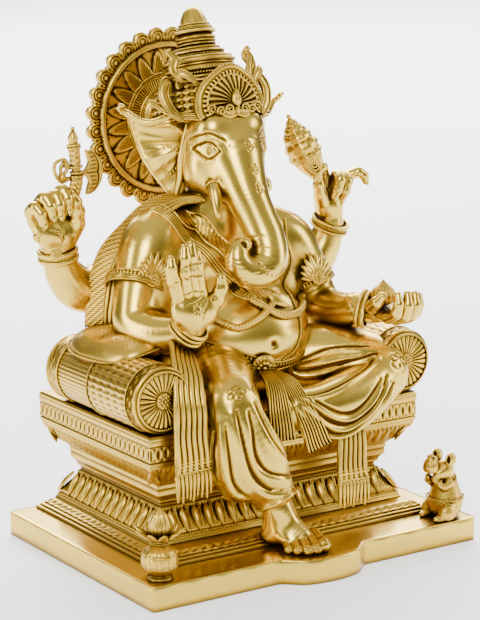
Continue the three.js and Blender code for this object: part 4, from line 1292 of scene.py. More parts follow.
def crown_cap():
    """The domed cap: a diagonal lattice of square studs between cords."""
    side = spline([(70, -7), (74.5, -4), (75.5, 6), (75, 20), (71.5, 34), (63, 47), (52, 56), (46, 61)], 90)
    segments = 384
    turn = np.arange(segments) / segments * TAU
    rows = []
    for i, (r, z) in enumerate(side):
        t = i / 89
        field = np.clip((t - 0.10) / 0.05, 0, 1) * np.clip((0.86 - t) / 0.05, 0, 1)
        u, w = turn * 14, t * 10.5 * math.pi
        stud = np.clip(np.cos(u + w) * np.cos(u - w) * 2.2, -0.7, 1)
        rr = r + 1.5 * stud * field - 0.7 * field
        rows.append(np.column_stack([rr * np.cos(turn), rr * np.sin(turn), np.full(segments, z)]))
    inner = [
        np.column_stack([r * np.cos(turn), r * np.sin(turn), np.full(segments, z)])
        for r, z in ((44, 61), (44, 50), (66, -6))
    ]
    v, f = grid(np.array(rows + inner), closed_rows=True)
    shell = crown_at(v), f
    # the brow band: two cords that dip at the middle of the forehead and rise over each eye
    bands = []
    for dz, size in ((-4, 2.0), (-9, 1.6)):
        path = [crown_point(a, dz) for a in np.linspace(-math.pi * 0.98, 0.0, 90)]
        bands.append(rope(crown_at(path), size, 2, 8, 6))
        bands.append(tube(crown_at([(x * 1.012, y * 1.012, z + size * 1.5) for x, y, z in path]), 0.8, 5))
    rear = [(75 * math.cos(a), 75 * math.sin(a), -4) for a in np.linspace(0, math.pi, 60)]
    bands.append(rope(crown_at(rear), 2.2, 2, 9, 6))
    top = [
        crown_band(64, 48, "wire", 1.5), crown_band(57, 54, "cord", 2.0), crown_band(50, 60, "beads", 2.0)
    ]
    piece("crown_cap_cast", merge([shell, *bands, *top]), ["crown_cap"])


def crown_point(turn, lift):
    """The brow band's path, from the crown's right side (turn -pi) past the front to its left (0)."""
    across = (turn + math.pi / 2) / (math.pi / 2)
    wave = 7 * math.cos(across * math.pi * 1.5) - 9 * abs(across) ** 2.2
    radius = 75.5
    return [radius * math.cos(turn), radius * math.sin(turn) - 2, lift - 4 - wave]


def scroll(points, width, flat=0.6, count=40, curl=None):
    """A flat scroll of tapering band through points of the crown's frame, with a groove each side."""
    path = crown_at(spline(points, count))
    t = np.linspace(0, 1, count)
    r = K * width * (0.35 + 0.65 * np.sin(np.pi * np.clip(t * 0.86 + 0.1, 0, 1)) ** 0.7)
    body = tube(path, r, 10, flat, up=(0, -1, 0.2))
    _, side, lift = frames(path, (0, -1, 0.2))
    edges = [
        tube(path + side * (r * 0.86 * s)[:, None] + lift * (r * 0.45)[:, None], 0.14 * r + 0.25, 5)
        for s in (-1, 1)
    ]
    made = [body, *edges]
    if curl:
        made.append(blob(path[-1], (curl, curl, curl)))
    return merge(made)


def crown_crest():
    """The fan on the crown's front: ribs from a teardrop bud, a beaded rim, scrolls at the sides."""
    # the plate: a shallow shield standing on the cap's front
    outline = lambda a: 50 * (1 + 0.10 * math.cos(2 * a)) * (1 + 0.16 * math.sin(a) ** 8)
    rows = []
    turns = np.linspace(-0.32, math.pi + 0.32, 260)
    centre = (0, 10)
    for s in np.linspace(0.02, 1, 64):
        row = []
        for a in turns:
            r = outline(a) * s
            x, z = centre[0] + r * math.cos(a), centre[1] + r * math.sin(a) * 1.05
            bow = 74.5 - 0.0052 * x * x - 0.0016 * max(z - 8, 0) ** 2
            feather = 1.7 * math.cos(a * 26 + 1.2 * math.sin(s * 5)) * (0.14 < s < 0.72)
            teeth = 1.3 * math.cos(a * 44) * math.sin((s - 0.74) / 0.12 * math.pi) if 0.74 < s < 0.86 else 0
            rim = 2.2 * math.exp(-((s - 0.93) / 0.035) ** 2) + 1.2 * math.exp(-((s - 0.735) / 0.02) ** 2)
            row.append((x, -(bow + 5 + feather + teeth + rim), z))
        rows.append(row)
    front = np.array(rows)
    back = front[::-1].copy()
    back[..., 1] += 7
    v, f = grid(np.concatenate([front, back]), closed_rows=True, closed_columns=False)
    plate = crown_at(v), f
    edge = [crown_at([front[-1][i]])[0] for i in range(260)]
    bead = beads(np.array(edge), 1.7, 1.15)
    curls = []
    for side in (-1, 1):  # lower curls that the fan stands on
        for x, z in ((12, 2), (25, 0), (37, 4)):
            a = np.linspace(0, TAU * 1.35, 36)
            r = np.linspace(6.5, 1.2, 36)
            path = [
                (side * (x + q * math.cos(b)), -(82.5 - 0.0052 * x * x), z + q * math.sin(b))
                for q, b in zip(r, a)
            ]
            curls.append(tube(crown_at(path), np.linspace(1.7, 1.1, 36), 6))
    bud = leaf(crown_at([[0, -83, 4]])[0], (0, 0.24, 0.97), (0, -1, 0.24), 26 * K, 15 * K, 0.45, 1)
    hanging = leaf(crown_at([[0, -82, 6]])[0], (0, -0.1, -1), (0, -1, 0.2), 14 * K, 9 * K, 0.5, 1)
    piece(
        "crown_crest_cast", merge([plate, bead, bud, hanging, *curls, side_flames(-1), side_flames(1)]),
        ["crown_crest"]
    )


def side_flames(side):
    """The openwork at one side of the crown: a curled S-scroll, an upright leaf, a ribbon, a hook."""
    s = side
    curl = scroll(
        [
            (s * 68, -38, -2), (s * 80, -34, 14), (s * 84, -30, 34), (s * 76, -28, 50), (s * 68, -28, 46),
            (s * 72, -28, 38)
        ],
        7.5, 0.6, curl=3
    )
    upright = scroll(
        [(s * 62, -36, 42), (s * 58, -34, 54), (s * 64, -32, 68), (s * 58, -30, 80), (s * 66, -28, 92)],
        7, 0.55
    )
    ribbon = scroll([(s * 66, -42, -4), (s * 80, -34, 8), (s * 90, -24, 18), (s * 97, -14, 28)], 5, 0.5)
    hook = scroll(
        [(s * 48, -60, 44), (s * 58, -56, 54), (s * 66, -50, 58), (s * 64, -48, 50), (s * 58, -50, 48)],
        5.5, 0.7, curl=3
    )
    flame = scroll([(s * 40, -62, 50), (s * 44, -58, 64), (s * 50, -54, 74), (s * 46, -52, 84)], 5, 0.6)
    parts = [curl, upright, ribbon, hook]
    return merge(parts + ([flame] if side > 0 else []))


def halo():
    """The halo: two rows of petals about a plain ring, a hatched inner field and fine wires."""
    low, high = node("halo_disc")
    centre = np.array([(low[0] + high[0]) / 2, 0, (low[2] + high[2]) / 2])
    face, rear = low[1] + 4, high[1]
    big, inner_count = 28, 20
    segments, rings = 28 * 20, 150
    turn = np.arange(segments) / segments * TAU
    lobe = (turn * big / TAU) % 1 * 2 - 1  # -1..1 across one outer petal
    inner = (turn * inner_count / TAU) % 1 * 2 - 1
    edge = 113 + 17 * np.sqrt(np.clip(1 - (np.abs(lobe) * 1.12) ** 2, 0, 1)) ** 0.9
    edge = np.maximum(edge, 119 + 4.5 * np.cos((np.abs(lobe) - 1) * math.pi * 2).clip(0))
    rows = []
    for share in np.linspace(0.0, 1, rings):
        r = 28 + (edge - 28) * share
        h = np.zeros(segments)
        across = lobe * math.pi * r / big
        d = np.hypot(r - 115, across * 1.02)
        outer = r > 110
        h += outer * (
            1.8 * np.exp(-((d - 11.5) / 1.5) ** 2) + 1.3 * np.exp(-((d - 7) / 1.2) ** 2)
            + 2.0 * np.exp(-(d / 2.4) ** 2) - 0.8
        )
        small = np.hypot(r - 117, (1 - np.abs(lobe)) * math.pi * r / big)
        h += outer * 1.4 * np.exp(-((small - 3.2) / 1.2) ** 2)
        h += 4.6 * np.sqrt(np.clip(1 - ((r - 105) / 4.4) ** 2, 0, 1))
        tip = 66 + 32 * (1 - np.abs(inner) ** 1.5)
        inside = np.clip((tip - r) / 2.0, 0, 1) * (r > 64)
        h += inside * (1.6 + 1.8 * (1 - inner**2)) + (r > 64) * (r < 100) * (-1.0)
        h += 1.5 * np.exp(-((r - tip + 1) / 1.3) ** 2) * (r > 66) * (r < 100)
        h += inside * 0.7 * np.cos(inner * 9 * math.pi) * (r < tip - 8)
        h += 0.9 * np.cos(turn * 90) * (r > 45) * (r < 57)
        for ring in (59, 61.8, 64.6, 37, 40, 43):
            h += 1.5 * np.exp(-((r - ring) / 0.8) ** 2)
        rows.append(np.column_stack([r * np.cos(turn), -h, r * np.sin(turn)]) + centre + (0, face, 0))
    back = [
        np.column_stack(
            [
                (28 + (edge - 28) * q) * np.cos(turn), np.full(segments, rear + 1.2 * math.sin(q * 40)),
                (28 + (edge - 28) * q) * np.sin(turn)
            ]
        ) + centre
        for q in (0.995, 0.9, 0.85, 0.8, 0.6, 0.4, 0.2, 0.0)
    ]
    piece("halo_disc_cast", grid(np.array(rows + back), closed_rows=True), ["halo_disc"])
    low, high = node("halo_stem")
    y0, y1, r = low[1], high[1], (high[0] - low[0]) / 2
    profile = [
        (0.5, y1), (r, y1), (r, y1 - 3), (r * 0.9, y1 - 6), (r * 0.55, y1 - 10), (r * 0.47, y1 - 14),
        (r * 0.5, (y0 + y1) / 2), (r * 0.62, (y0 + y1) / 2 - 2), (r * 0.5, (y0 + y1) / 2 - 5),
        (r * 0.47, y0), (0.5, y0)
    ]
    v, f = turned(spline(profile, 60), (centre[0], 0, centre[2]), 64, axis=(0, 1, 0))
    piece("halo_stem_cast", (v, f), ["halo_stem"])


# ---------------------------------------------------------------- ears and tusks


def ear(side):
    """A broad fan ear: rolled rim along the top and the root, swept folds, a flower by the root."""
    rim = spline([(-12, 52), (-6, 66), (14, 71), (34, 62), (54, 60), (80, 74)], 60)
    hem = spline([(80, 74), (76, 58), (72, 44), (66, 26), (58, 8), (42, -16), (24, -38), (12, -52)], 60)
    n, m = 60, 46
    rows = []
    for i in range(n):
        row = []
        for j in range(m):
            t, s = i / (n - 1), j / (m - 1)
            root = np.array([-8 + 8 * t, 60 - 112 * t])
            p = root * (1 - s) + hem[int(t * 59)] * s
            top = rim[int(s * 59)]
            p = p * (1 - (1 - t) ** 3) + top * (1 - t) ** 3
            phi, reach = math.atan2(p[1] - 34, p[0] + 14), math.hypot(p[1] - 34, p[0] + 14)
            fold = 3.6 * math.sin(5.6 * phi + 0.9) * min(1, reach / 40) * math.sin(
                math.pi * min(1, t + 0.12)
            ) ** 0.5
            ribs = 0.7 * math.cos(26 * phi) * min(
                1, reach / 50
            ) * (phi < 0.2) * math.sin(math.pi * s) ** 0.6
            dish = -9 * math.sin(math.pi * min(1, s)) * math.sin(math.pi * min(1, 0.15 + t * 0.8))
            lip = 5 * math.exp(-((1 - s) / 0.05) ** 2) * 0.5
            row.append((p[0], dish + fold + ribs + lip, p[1]))
        rows.append(row)
    front = np.array(rows)
    back = front[::-1].copy()
    back[..., 1] += 4.2
    flat_v, flat_f = grid(np.concatenate([front, back]), closed_rows=True, closed_columns=False)
    curl = np.array(
        [(x, -3 - 3 * math.sin(u * math.pi), z + 1) for (x, z), u in zip(rim, np.linspace(0, 1, 60))]
    )
    tip = [(84, -6, 77), (88, -11, 82), (86, -15, 86), (81, -15, 85)]
    roll = tube(
        np.vstack([curl, tip]), np.concatenate([np.linspace(6.6, 5.0, 60), [4.6, 4.0, 3.2, 2.2]]), 10
    )
    root_line = spline(
        [(-8, -2, 62), (-2, -7, 40), (4, -8, 12), (6, -6, -16), (10, -3, -36), (12, -1, -50)], 50
    )
    rib = tube(root_line, np.linspace(6.4, 3.0, 50), 10)
    crease = chisel(flat_v, front, [(0.30, 0.05), (0.22, 0.35), (0.16, 0.62), (0.13, 0.92)])
    flower = []
    for a in np.linspace(-1.9, 1.9, 15):
        x, z = 12 + 13 * math.cos(a + math.pi), 10 + 15 * math.sin(a)
        c = np.array([x + 10, 0, z])
        k = np.argmin(((flat_v[: n * m] - [c[0], flat_v[0][1], c[2]]) ** 2)[:, [0, 2]].sum(1))
        base = flat_v[k]
        d = unit([-math.cos(a), 0, math.sin(a)])
        flower.append(leaf(base + (0, -0.8, 0), d, (0, -1, 0), 7.5, 3.4, 0.3, 1, 5, 5))
    mesh = merge([(crease, flat_f), roll, rib, *flower])
    p = mesh[0] * K
    c, s = math.cos(math.radians(33)), math.sin(math.radians(33))
    turned_points = np.column_stack([p[:, 0] * c - p[:, 1] * s, p[:, 0] * s + p[:, 1] * c, p[:, 2]])
    verts = turned_points + at((MID + 54, 56, 320))[0]
    faces = mesh[1]
    if side < 0:
        verts[:, 0] = 2 * MID * K - verts[:, 0]
        faces = faces[:, ::-1]
    return verts, faces


def chisel(verts, front, steps):
    """A creased fold line across the ear, given as (row, column) shares."""
    n, m = front.shape[:2]
    path = np.array([front[int(t * (n - 1)), int(s * (m - 1))] for t, s in steps])
    path = spline(path, 30)
    normal = np.tile((0.0, -1.0, 0.0), (len(verts), 1))
    return chase(verts.copy(), normal, path, 2.2, 3.0, False)


def ears():
    """Both ears; the left one carries an earring."""
    ball = blob(at((MID + 60, 52, 262))[0], (5.6, 5.6, 6.6), rings=10, sides=14)
    drop = tube(at([(MID + 60, 52, 276), (MID + 60, 52, 266)])[:, :3], 2.0, 8)
    piece("ear_right_cast", ear(-1), ["ear_right"], "polished_brass", 1.2)
    piece("ear_left_cast", merge([ear(1), ball, drop]), ["ear_left"], "polished_brass", 1.2)


def tusks():
    """The whole right tusk and the broken left one, each with two collars."""
    right = at(
        [
            [-50, 14, 306, 9], [-55, 0, 296, 9], [-58, -10, 280, 8], [-59, -16, 262, 5.5],
            [-58, -18, 254, 2.5]
        ]
    )
    left = at(mirrored([[-50, 14, 306, 9], [-55, 0, 297, 9], [-57, -6, 289, 7.5]]))
    for name, path in (("right", right), ("left", left)):
        p = spline(path, 40)
        body = tube(p[:, :3], p[:, 3], 18)
        collar = [
            tube(ring_round(p[i, :3], p[i + 1, :3], p[i, 3] + 1.0), 1.5, 6, closed=True) for i in (4, 8)
        ]
        extra = [] if name == "right" else [blob(p[-1, :3], (5, 5, 3), rings=6, sides=10)]
        piece("tusk_" + name + "_cast", merge([body, *collar, *extra]), ["tusk_" + name], "polished_brass")


def ring_round(centre, ahead, radius, count=28):
    """A closed circle about the line from centre to ahead."""
    z = unit(np.array(ahead) - np.array(centre))
    x = unit(np.cross(z, (0.3, 0.2, 0.93)))
    y = np.cross(z, x)
    turn = np.arange(count) / count * TAU
    return np.array(centre) + radius * (np.cos(turn)[:, None] * x + np.sin(turn)[:, None] * y)


# ---------------------------------------------------------------- hands


def hand(name, replaces, palm, wrist, fingers, box, marks=(), nails=None, step=1.1):
    """A modelled hand: palm balls, wrist and fingers with knuckles, then nails and palm lines."""
    clay = Clay(at(box[0])[0], at(box[1])[0], step)
    for c, r, *more in palm:
        clay.ball(at(c)[0], np.array(r) * K, 7, axes=more[0] if more else None)
    clay.limb(at(wrist), 8)
    for path in fingers:
        p = np.array(path, float)
        clay.limb(at(p), 1.2, samples=5)
        for q in p[1:-1]:
            clay.ball(at(q[:3])[0], (q[3] * 1.10,) * 3, 2)
    v, f = clay.skin()
    v = relax(v, f, 2, 0.5)
    n = normals_of(v, f)
    for path in marks:
        v = chase(v, n, drop_on(v, at(spline(path, 16))), 0.9, -1.2)
    tips = [nail(at(path), unit(nails)) for path in fingers] if nails else []
    piece(name, merge([(v, f), *tips]), [replaces], "polished_brass", 1.6)


def nail(path, way):
    """A small raised nail on the side of a fingertip that faces way."""
    d = unit(path[-1, :3] - path[-2, :3])
    n = unit(way - d * np.dot(way, d))
    r = path[-1, 3]
    return leaf(path[-1, :3] + n * r * 0.85 - d * r * 0.1, d, n, r * 1.5, r * 1.3, 0.16, 0, 7, 7)


def hands():
    """Raised palm, open palm, axe fist and the hand that pinches the conch."""
    raised = [
        [[-160, -74, 168, 10], [-170, -78, 192, 8.6], [-175, -80, 210, 7.8], [-175, -79, 221, 6.2]],
        [[-150, -76, 174, 10.4], [-156, -80, 202, 9], [-156, -82, 221, 8.2], [-155, -81, 234, 6.4]],
        [[-138, -76, 174, 10.4], [-144, -80, 203, 9], [-145, -82, 223, 8.2], [-145, -81, 237, 6.4]],
        [[-126, -76, 172, 10], [-133, -80, 197, 8.8], [-135, -82, 214, 8], [-136, -81, 226, 6.2]],
        [[-118, -74, 142, 13], [-107, -82, 160, 11], [-103, -88, 176, 9.4], [-104, -90, 191, 7.2]],
    ]
    lines = [
        [[-160, -88, 172], [-142, -92, 176], [-122, -92, 172]],
        [[-158, -90, 160], [-140, -93, 164], [-124, -92, 170]],
        [[-122, -92, 162], [-130, -93, 148], [-132, -90, 134]]
    ]
    for i in range(4):
        x = raised[i][1][0]
        for z in (192, 210):
            lines.append([[x - 7, -92, z + 2 * i], [x, -94, z - 0.5 + 2 * i], [x + 7, -92, z + 2 * i]])
    flower = [
        [
            [-139 + 4.5 * math.cos(a), -96, 154 + 4.5 * math.sin(a)],
            [-139 + 9 * math.cos(a), -96, 154 + 9 * math.sin(a)]
        ]
        for a in np.linspace(0, TAU, 9)[:-1]
    ]
    hand(
        "hand_front_right_cast", "hand_front_right",
        [
            ((-139, -73, 154), (31, 14, 30)), ((-120, -78, 146), (17, 13, 21)),
            ((-153, -76, 146), (14, 12, 20))
        ],
        [[-136, -60, 120, 22], [-138, -66, 132, 22], [-140, -70, 144, 22]], raised,
        ((-200, -114, 96), (-80, -34, 256)), lines + flower
    )

    flat = [
        [
            [152, -104, 116, 9], [152, -124, 112, 8.6], [153, -140, 120, 8], [154, -144, 134, 7.4],
            [155, -141, 146, 5.6]
        ],
        [
            [164, -104, 114, 9.2], [166, -124, 109, 8.8], [168, -141, 116, 8.2], [169, -146, 131, 7.6],
            [170, -143, 146, 5.8]
        ],
        [
            [177, -102, 113, 9.2], [181, -120, 108, 8.8], [184, -136, 114, 8.2], [186, -141, 129, 7.6],
            [187, -138, 143, 5.8]
        ],
        [
            [188, -98, 113, 8.8], [194, -113, 109, 8.2], [198, -127, 114, 7.6], [200, -131, 126, 7],
            [201, -129, 138, 5.4]
        ],
        [[148, -92, 120, 11], [138, -106, 126, 9.6], [136, -118, 134, 8.4], [140, -126, 144, 6.2]],
    ]
    hand(
        "hand_front_left_cast", "hand_front_left",
        [((170, -96, 112), (28, 24, 12)), ((152, -88, 116), (15, 15, 11))],
        [[141, -64, 119, 20], [146, -76, 117, 19], [154, -86, 115, 18]], flat,
        ((112, -162, 88), (222, -36, 162))
    )

    fist = [
        [
            [-272, 114, 250, 8.6], [-281, 106, 268, 8.6], [-281, 94, 276, 8.2], [-277, 86, 268, 7.6],
            [-273, 86, 256, 6.4]
        ],
        [
            [-262, 115, 258, 9], [-268, 103, 280, 9.2], [-268, 90, 288, 9], [-265, 82, 278, 8.2],
            [-262, 82, 266, 6.8]
        ],
        [
            [-248, 115, 260, 9], [-254, 101, 284, 9.2], [-254, 87, 290, 9], [-252, 80, 279, 8.4],
            [-250, 81, 267, 7]
        ],
        [
            [-236, 113, 262, 9], [-242, 101, 288, 9.2], [-242, 88, 296, 9], [-239, 81, 286, 8.4],
            [-237, 82, 274, 7]
        ],
        [
            [-222, 106, 228, 13], [-216, 97, 248, 11.6], [-218, 90, 266, 10], [-224, 84, 280, 8.4],
            [-228, 83, 288, 6.8]
        ],
    ]
    hand(
        "hand_rear_right_cast", "hand_rear_right",
        [
            ((-248, 110, 246), (30, 15, 26)), ((-228, 102, 234), (17, 14, 22)),
            ((-258, 104, 236), (15, 13, 18))
        ],
        [[-236, 115, 204, 22], [-240, 114, 218, 22], [-244, 112, 230, 22]], fist,
        ((-300, 60, 176), (-190, 148, 318)),
        [
            [[-262, 90, 244], [-248, 88, 240], [-238, 88, 230]],
            [[-244, 90, 250], [-240, 88, 238], [-242, 88, 224]]
        ],
        (0, -1, -0.3)
    )

    pinch = [
        [
            [204, 104, 264, 9], [196, 92, 282, 8.8], [188, 84, 294, 8.2], [180, 82, 290, 7.4],
            [176, 84, 282, 5.8]
        ],
        [
            [216, 102, 264, 9], [216, 84, 280, 8.8], [212, 72, 276, 8.2], [208, 72, 262, 7.4],
            [206, 76, 252, 5.8]
        ],
        [
            [226, 102, 262, 9], [229, 85, 277, 8.6], [226, 73, 272, 8.0], [222, 72, 258, 7.2],
            [220, 76, 248, 5.8]
        ],
        [
            [236, 104, 258, 8.6], [244, 92, 276, 8.0], [254, 84, 282, 7.4], [262, 80, 276, 6.6],
            [264, 79, 268, 5.2]
        ],
        [[200, 98, 238, 12], [190, 90, 252, 10], [184, 86, 268, 8.8], [182, 84, 280, 6.8]],
    ]
    hand(
        "hand_rear_left_cast", "hand_rear_left",
        [((216, 104, 244), (24, 15, 24)), ((202, 98, 236), (13, 12, 18))],
        [[217, 104, 206, 21], [217, 104, 218, 20], [216, 104, 232, 21]], pinch,
        ((152, 52, 176), (284, 138, 312)), nails=(0, -1, 0.2)
    )


# ---------------------------------------------------------------- cloth and jewels


class Skin:
    """A finished surface that cloth and jewels are laid on."""

    def __init__(self, verts, faces):
        self.verts, self.normals = verts, normals_of(verts, faces)
        self.tree = KDTree(len(verts))
        for i, p in enumerate(verts):
            self.tree.insert(p, i)
        self.tree.balance()

    def lay(self, points, lift=0.0):
        """The points moved onto the surface, raised by lift, and the surface's directions there."""
        points = np.asarray(points, float)
        flat = points.reshape(-1, 3)
        near = np.array([[i for _, i, _ in self.tree.find_n(p, 8)] for p in flat])
        middle, way = self.verts[near].mean(1), unit(self.normals[near].mean(1))
        flat = (
            flat
            - way
            * (((flat - middle) * way).sum(1) - np.broadcast_to(lift, points.shape[:-1]).ravel())[:, None]
        )
        return flat.reshape(points.shape), way.reshape(points.shape)


def capped(rows):
    """Rows of a closed section with both ends drawn together."""
    ends = [rows[i] * 0.04 + rows[i].mean(0) * 0.96 for i in (0, -1)]
    return np.concatenate([ends[:1], rows, ends[1:]])


def band(path, ways, width, relief, columns=15, thick=2.0, skin=None, closed=False):
    """A strip of cloth or metal, laid on a skin if given. relief(mm along, -1 to 1 across) is its height."""
    path = np.asarray(path, float)
    if skin is not None:
        path, ways = skin.lay(path)
    along = np.roll(path, -1, 0) - np.roll(path, 1, 0) if closed else np.gradient(path, axis=0)
    tangent = unit(along)
    ways = unit(ways - tangent * (ways * tangent).sum(1)[:, None])
    across = np.cross(ways, tangent)
    s = np.linspace(-1, 1, columns)
    half = np.broadcast_to(width, (len(path),))[:, None] / 2
    flat = path[:, None] + across[:, None] * (half * s)[..., None]
    length = np.concatenate([[0], np.cumsum(np.linalg.norm(np.diff(path, axis=0), axis=1))])[:, None]
    height = relief(length + 0 * s, s + 0 * length)
    if skin is not None:
        top, low = skin.lay(flat, height)[0], skin.lay(flat, -thick)[0]
    else:
        top, low = flat + ways[:, None] * height[..., None], flat + ways[:, None] * (
            0.6 * height - thick
        )[..., None]
    rows = np.concatenate([top, low[:, ::-1]], 1)
    return grid(rows, closed_rows=True) if closed else grid(capped(rows))


def cords(s, width=0.14):
    """The height of a raised cord along each edge of a band."""
    return 1.5 * np.exp(-(((np.abs(s) - 0.86) / width) ** 2))


def pleated(count, deep):
    """Sharp-edged folds running along a band."""
    return lambda t, s: deep * np.abs(np.sin(count * np.pi / 2 * (s + 1 + 0.03 * np.sin(t / 9)))) ** 0.7


def jewelled(pitch, high=1.6):
    """Beads between two cords."""
    return lambda t, s: 0.8 + cords(s) + high * np.sqrt(np.clip(1 - (s / 0.6) ** 2, 0, 1)) * (
        0.5 + 0.5 * np.cos(t / pitch * TAU)
    )


def chased(pitch):
    """Engraved scrolls between two cords."""
    return lambda t, s: 1.0 + cords(s) + 0.55 * np.sin(t / pitch * TAU + 2.5 * s) * np.cos(
        2.6 * s * np.pi + t / pitch * 4
    ) * (np.abs(s) < 0.75)


def rosette(centre, axis, radius, petals=8, high=1.0):
    """A round ornament: a domed disc, two rings of petals, beads and a button."""
    z = unit(axis)
    x = unit(np.cross(z, (0.31, 0.2, 0.93)))
    y = np.cross(z, x)
    made = [
        turned(
            [
                [0.2, 1.6 * high], [radius * 0.5, 1.5 * high], [radius * 0.9, 0.8 * high], [radius, -0.5],
                [radius * 0.9, -2], [0.2, -2]
            ],
            centre, 32, z
        )
    ]
    for ring, (inner, outer, count) in enumerate(((0.45, 0.98, petals * 2), (0.2, 0.62, petals))):
        for a in (np.arange(count) + 0.5 * ring) / count * TAU:
            d = math.cos(a) * x + math.sin(a) * y
            span = (outer - inner) * radius
            made.append(
                leaf(
                    centre + d * inner * radius + z * (1 + ring) * high, d, z, span,
                    min(span, 5.6 * radius / count), 0.3, 1, 5, 5
                )
            )
    made.append(blob(centre + z * 2.6 * high, (radius * 0.2,) * 3, rings=5, sides=8))
    made.append(
        beads(
            ring_round(centre + z * 2 * high, centre + z * 3 * high, radius * 0.42, int(radius * 2) + 8),
            radius * 0.07 + 0.25, 1.05
        )
    )
    return merge(made)


def loop_on(centre, ahead, radius, width, relief, shift=0.0, count=240):
    """A closed band round a limb, about the line from centre to ahead."""
    centre, ahead = at(centre)[0], at(ahead)[0]
    way = unit(ahead - centre)
    ring = ring_round(centre + way * shift, ahead + way * shift, radius * K, count)
    out = unit(ring - centre - way * shift)
    return band(ring, out, width * K, relief, 11, 2.5, None, True)


def jewels(body_skin):
    """Armlets with their fans, the bangles and the belt with its buckle."""
    armlets = (
        ("right", [-155, 43, 168], [-164, 36, 150], 40, [-150, 6, 178], (-0.1, -0.95, 0.25)),
        ("left", [134, 42, 140], [138, 39, 130], 36, [126, 6, 150], (-0.1, -0.97, 0.2))
    )
    for side, centre, ahead, radius, front, way in armlets:
        parts = [
            loop_on(centre, ahead, radius, 9, jewelled(5.2)),
            loop_on(centre, ahead, radius + 0.6, 5, chased(7), 8)
        ]
        front, up = at(front)[0], unit(np.array((0.35 if side == "left" else -0.28, -0.1, -0.9)) * -1)
        across = np.cross(way, up)
        for a in np.linspace(-1.15, 1.15, 9):
            d = up * math.cos(a) + across * math.sin(a)
            parts.append(leaf(front + d * 6, d, way, 33 - 9 * abs(a), 10, 0.22, 3, 11, 9))
        parts += [
            rosette(front + np.array(way) * 1.5, way, 11),
            beads(
                front + np.array(way) * 2 + np.array(
                    [
                        up * math.cos(a) * 13 + across * math.sin(a) * 13
                        for a in np.linspace(-1.3, 1.3, 20)
                    ]
                ),
                1.2
            )
        ]
        piece("armlet_" + side + "_cast", merge(parts), ["armlet_" + side], "polished_brass")
    sets = (
        ("front_right", [-135, -58, 120], [-131, -66, 130], 25, (-7, 0, 7), 5.5, None),
        ("front_left", [146, -76, 117], [152, -84, 115], 25, (-4, 4), 6.5, None),
        ("rear_right", [-235, 116, 205], [-238, 114, 220], 26, (-5, 5), 7.5, (-0.55, -0.83, 0.1)),
        ("rear_left", [217, 104, 206], [221, 96, 228], 27, (-5, 5), 4.5, None)
    )
    for name, centre, ahead, radius, shifts, width, face in sets:
        parts = [
            loop_on(
                centre, ahead, radius, width,
                lambda t, s: 0.4 + 2.6 * np.sqrt(np.clip(1 - s**2, 0, 1)) * (
                    0.86 + 0.14 * np.cos(t / 3.2 * TAU)
                ),
                shift
            )
            for shift in shifts
        ]
        parts.append(loop_on(centre, ahead, radius - 1.5, width * 0.9, jewelled(4.4, 1.2), 0))
        if face:
            parts.append(rosette(at(centre)[0] + unit(face) * (radius + 1) * K, face, 8.5))
        piece("bangle_" + name + "_cast", merge(parts), ["bangle_" + name], "polished_brass")

    waist = [
        [-98, -6, 88], [-80, -38, 80], [-51, -62, 68], [-19, -68, 56], [5, -66, 50], [31, -60, 51],
        [60, -44, 56], [88, -16, 64], [102, 16, 70], [104, 54, 72], [88, 92, 70], [50, 118, 66],
        [0, 128, 64], [-50, 118, 66], [-88, 92, 72], [-104, 54, 80], [-106, 20, 86]
    ]
    ring = resample(spline(at(waist + waist[:1]), 160), 0.9)[:-1]
    belt = band(ring, None, 15, jewelled(5.6, 2.4), 17, 3, body_skin, True)
    clasp, way = body_skin.lay(at([[-19, -66, 55]]))
    edge = at(
        [
            [84, 30, 236], [78, 22, 200], [70, 8, 166], [59, -10, 141], [50, -41, 127], [48, -58, 102],
            [43, -64, 85], [33, -66, 70], [14, -66, 60]
        ]
    )
    border = beads(body_skin.lay(resample(spline(edge, 60), 1.0), 1.2)[0], 1.9, 1.05)
    piece(
        "waist_belt_cast", merge([belt, rosette(clasp[0] + way[0] * 4, way[0], 19 * K, 9, 2.0), border]),
        ["waist_belt"]
    )


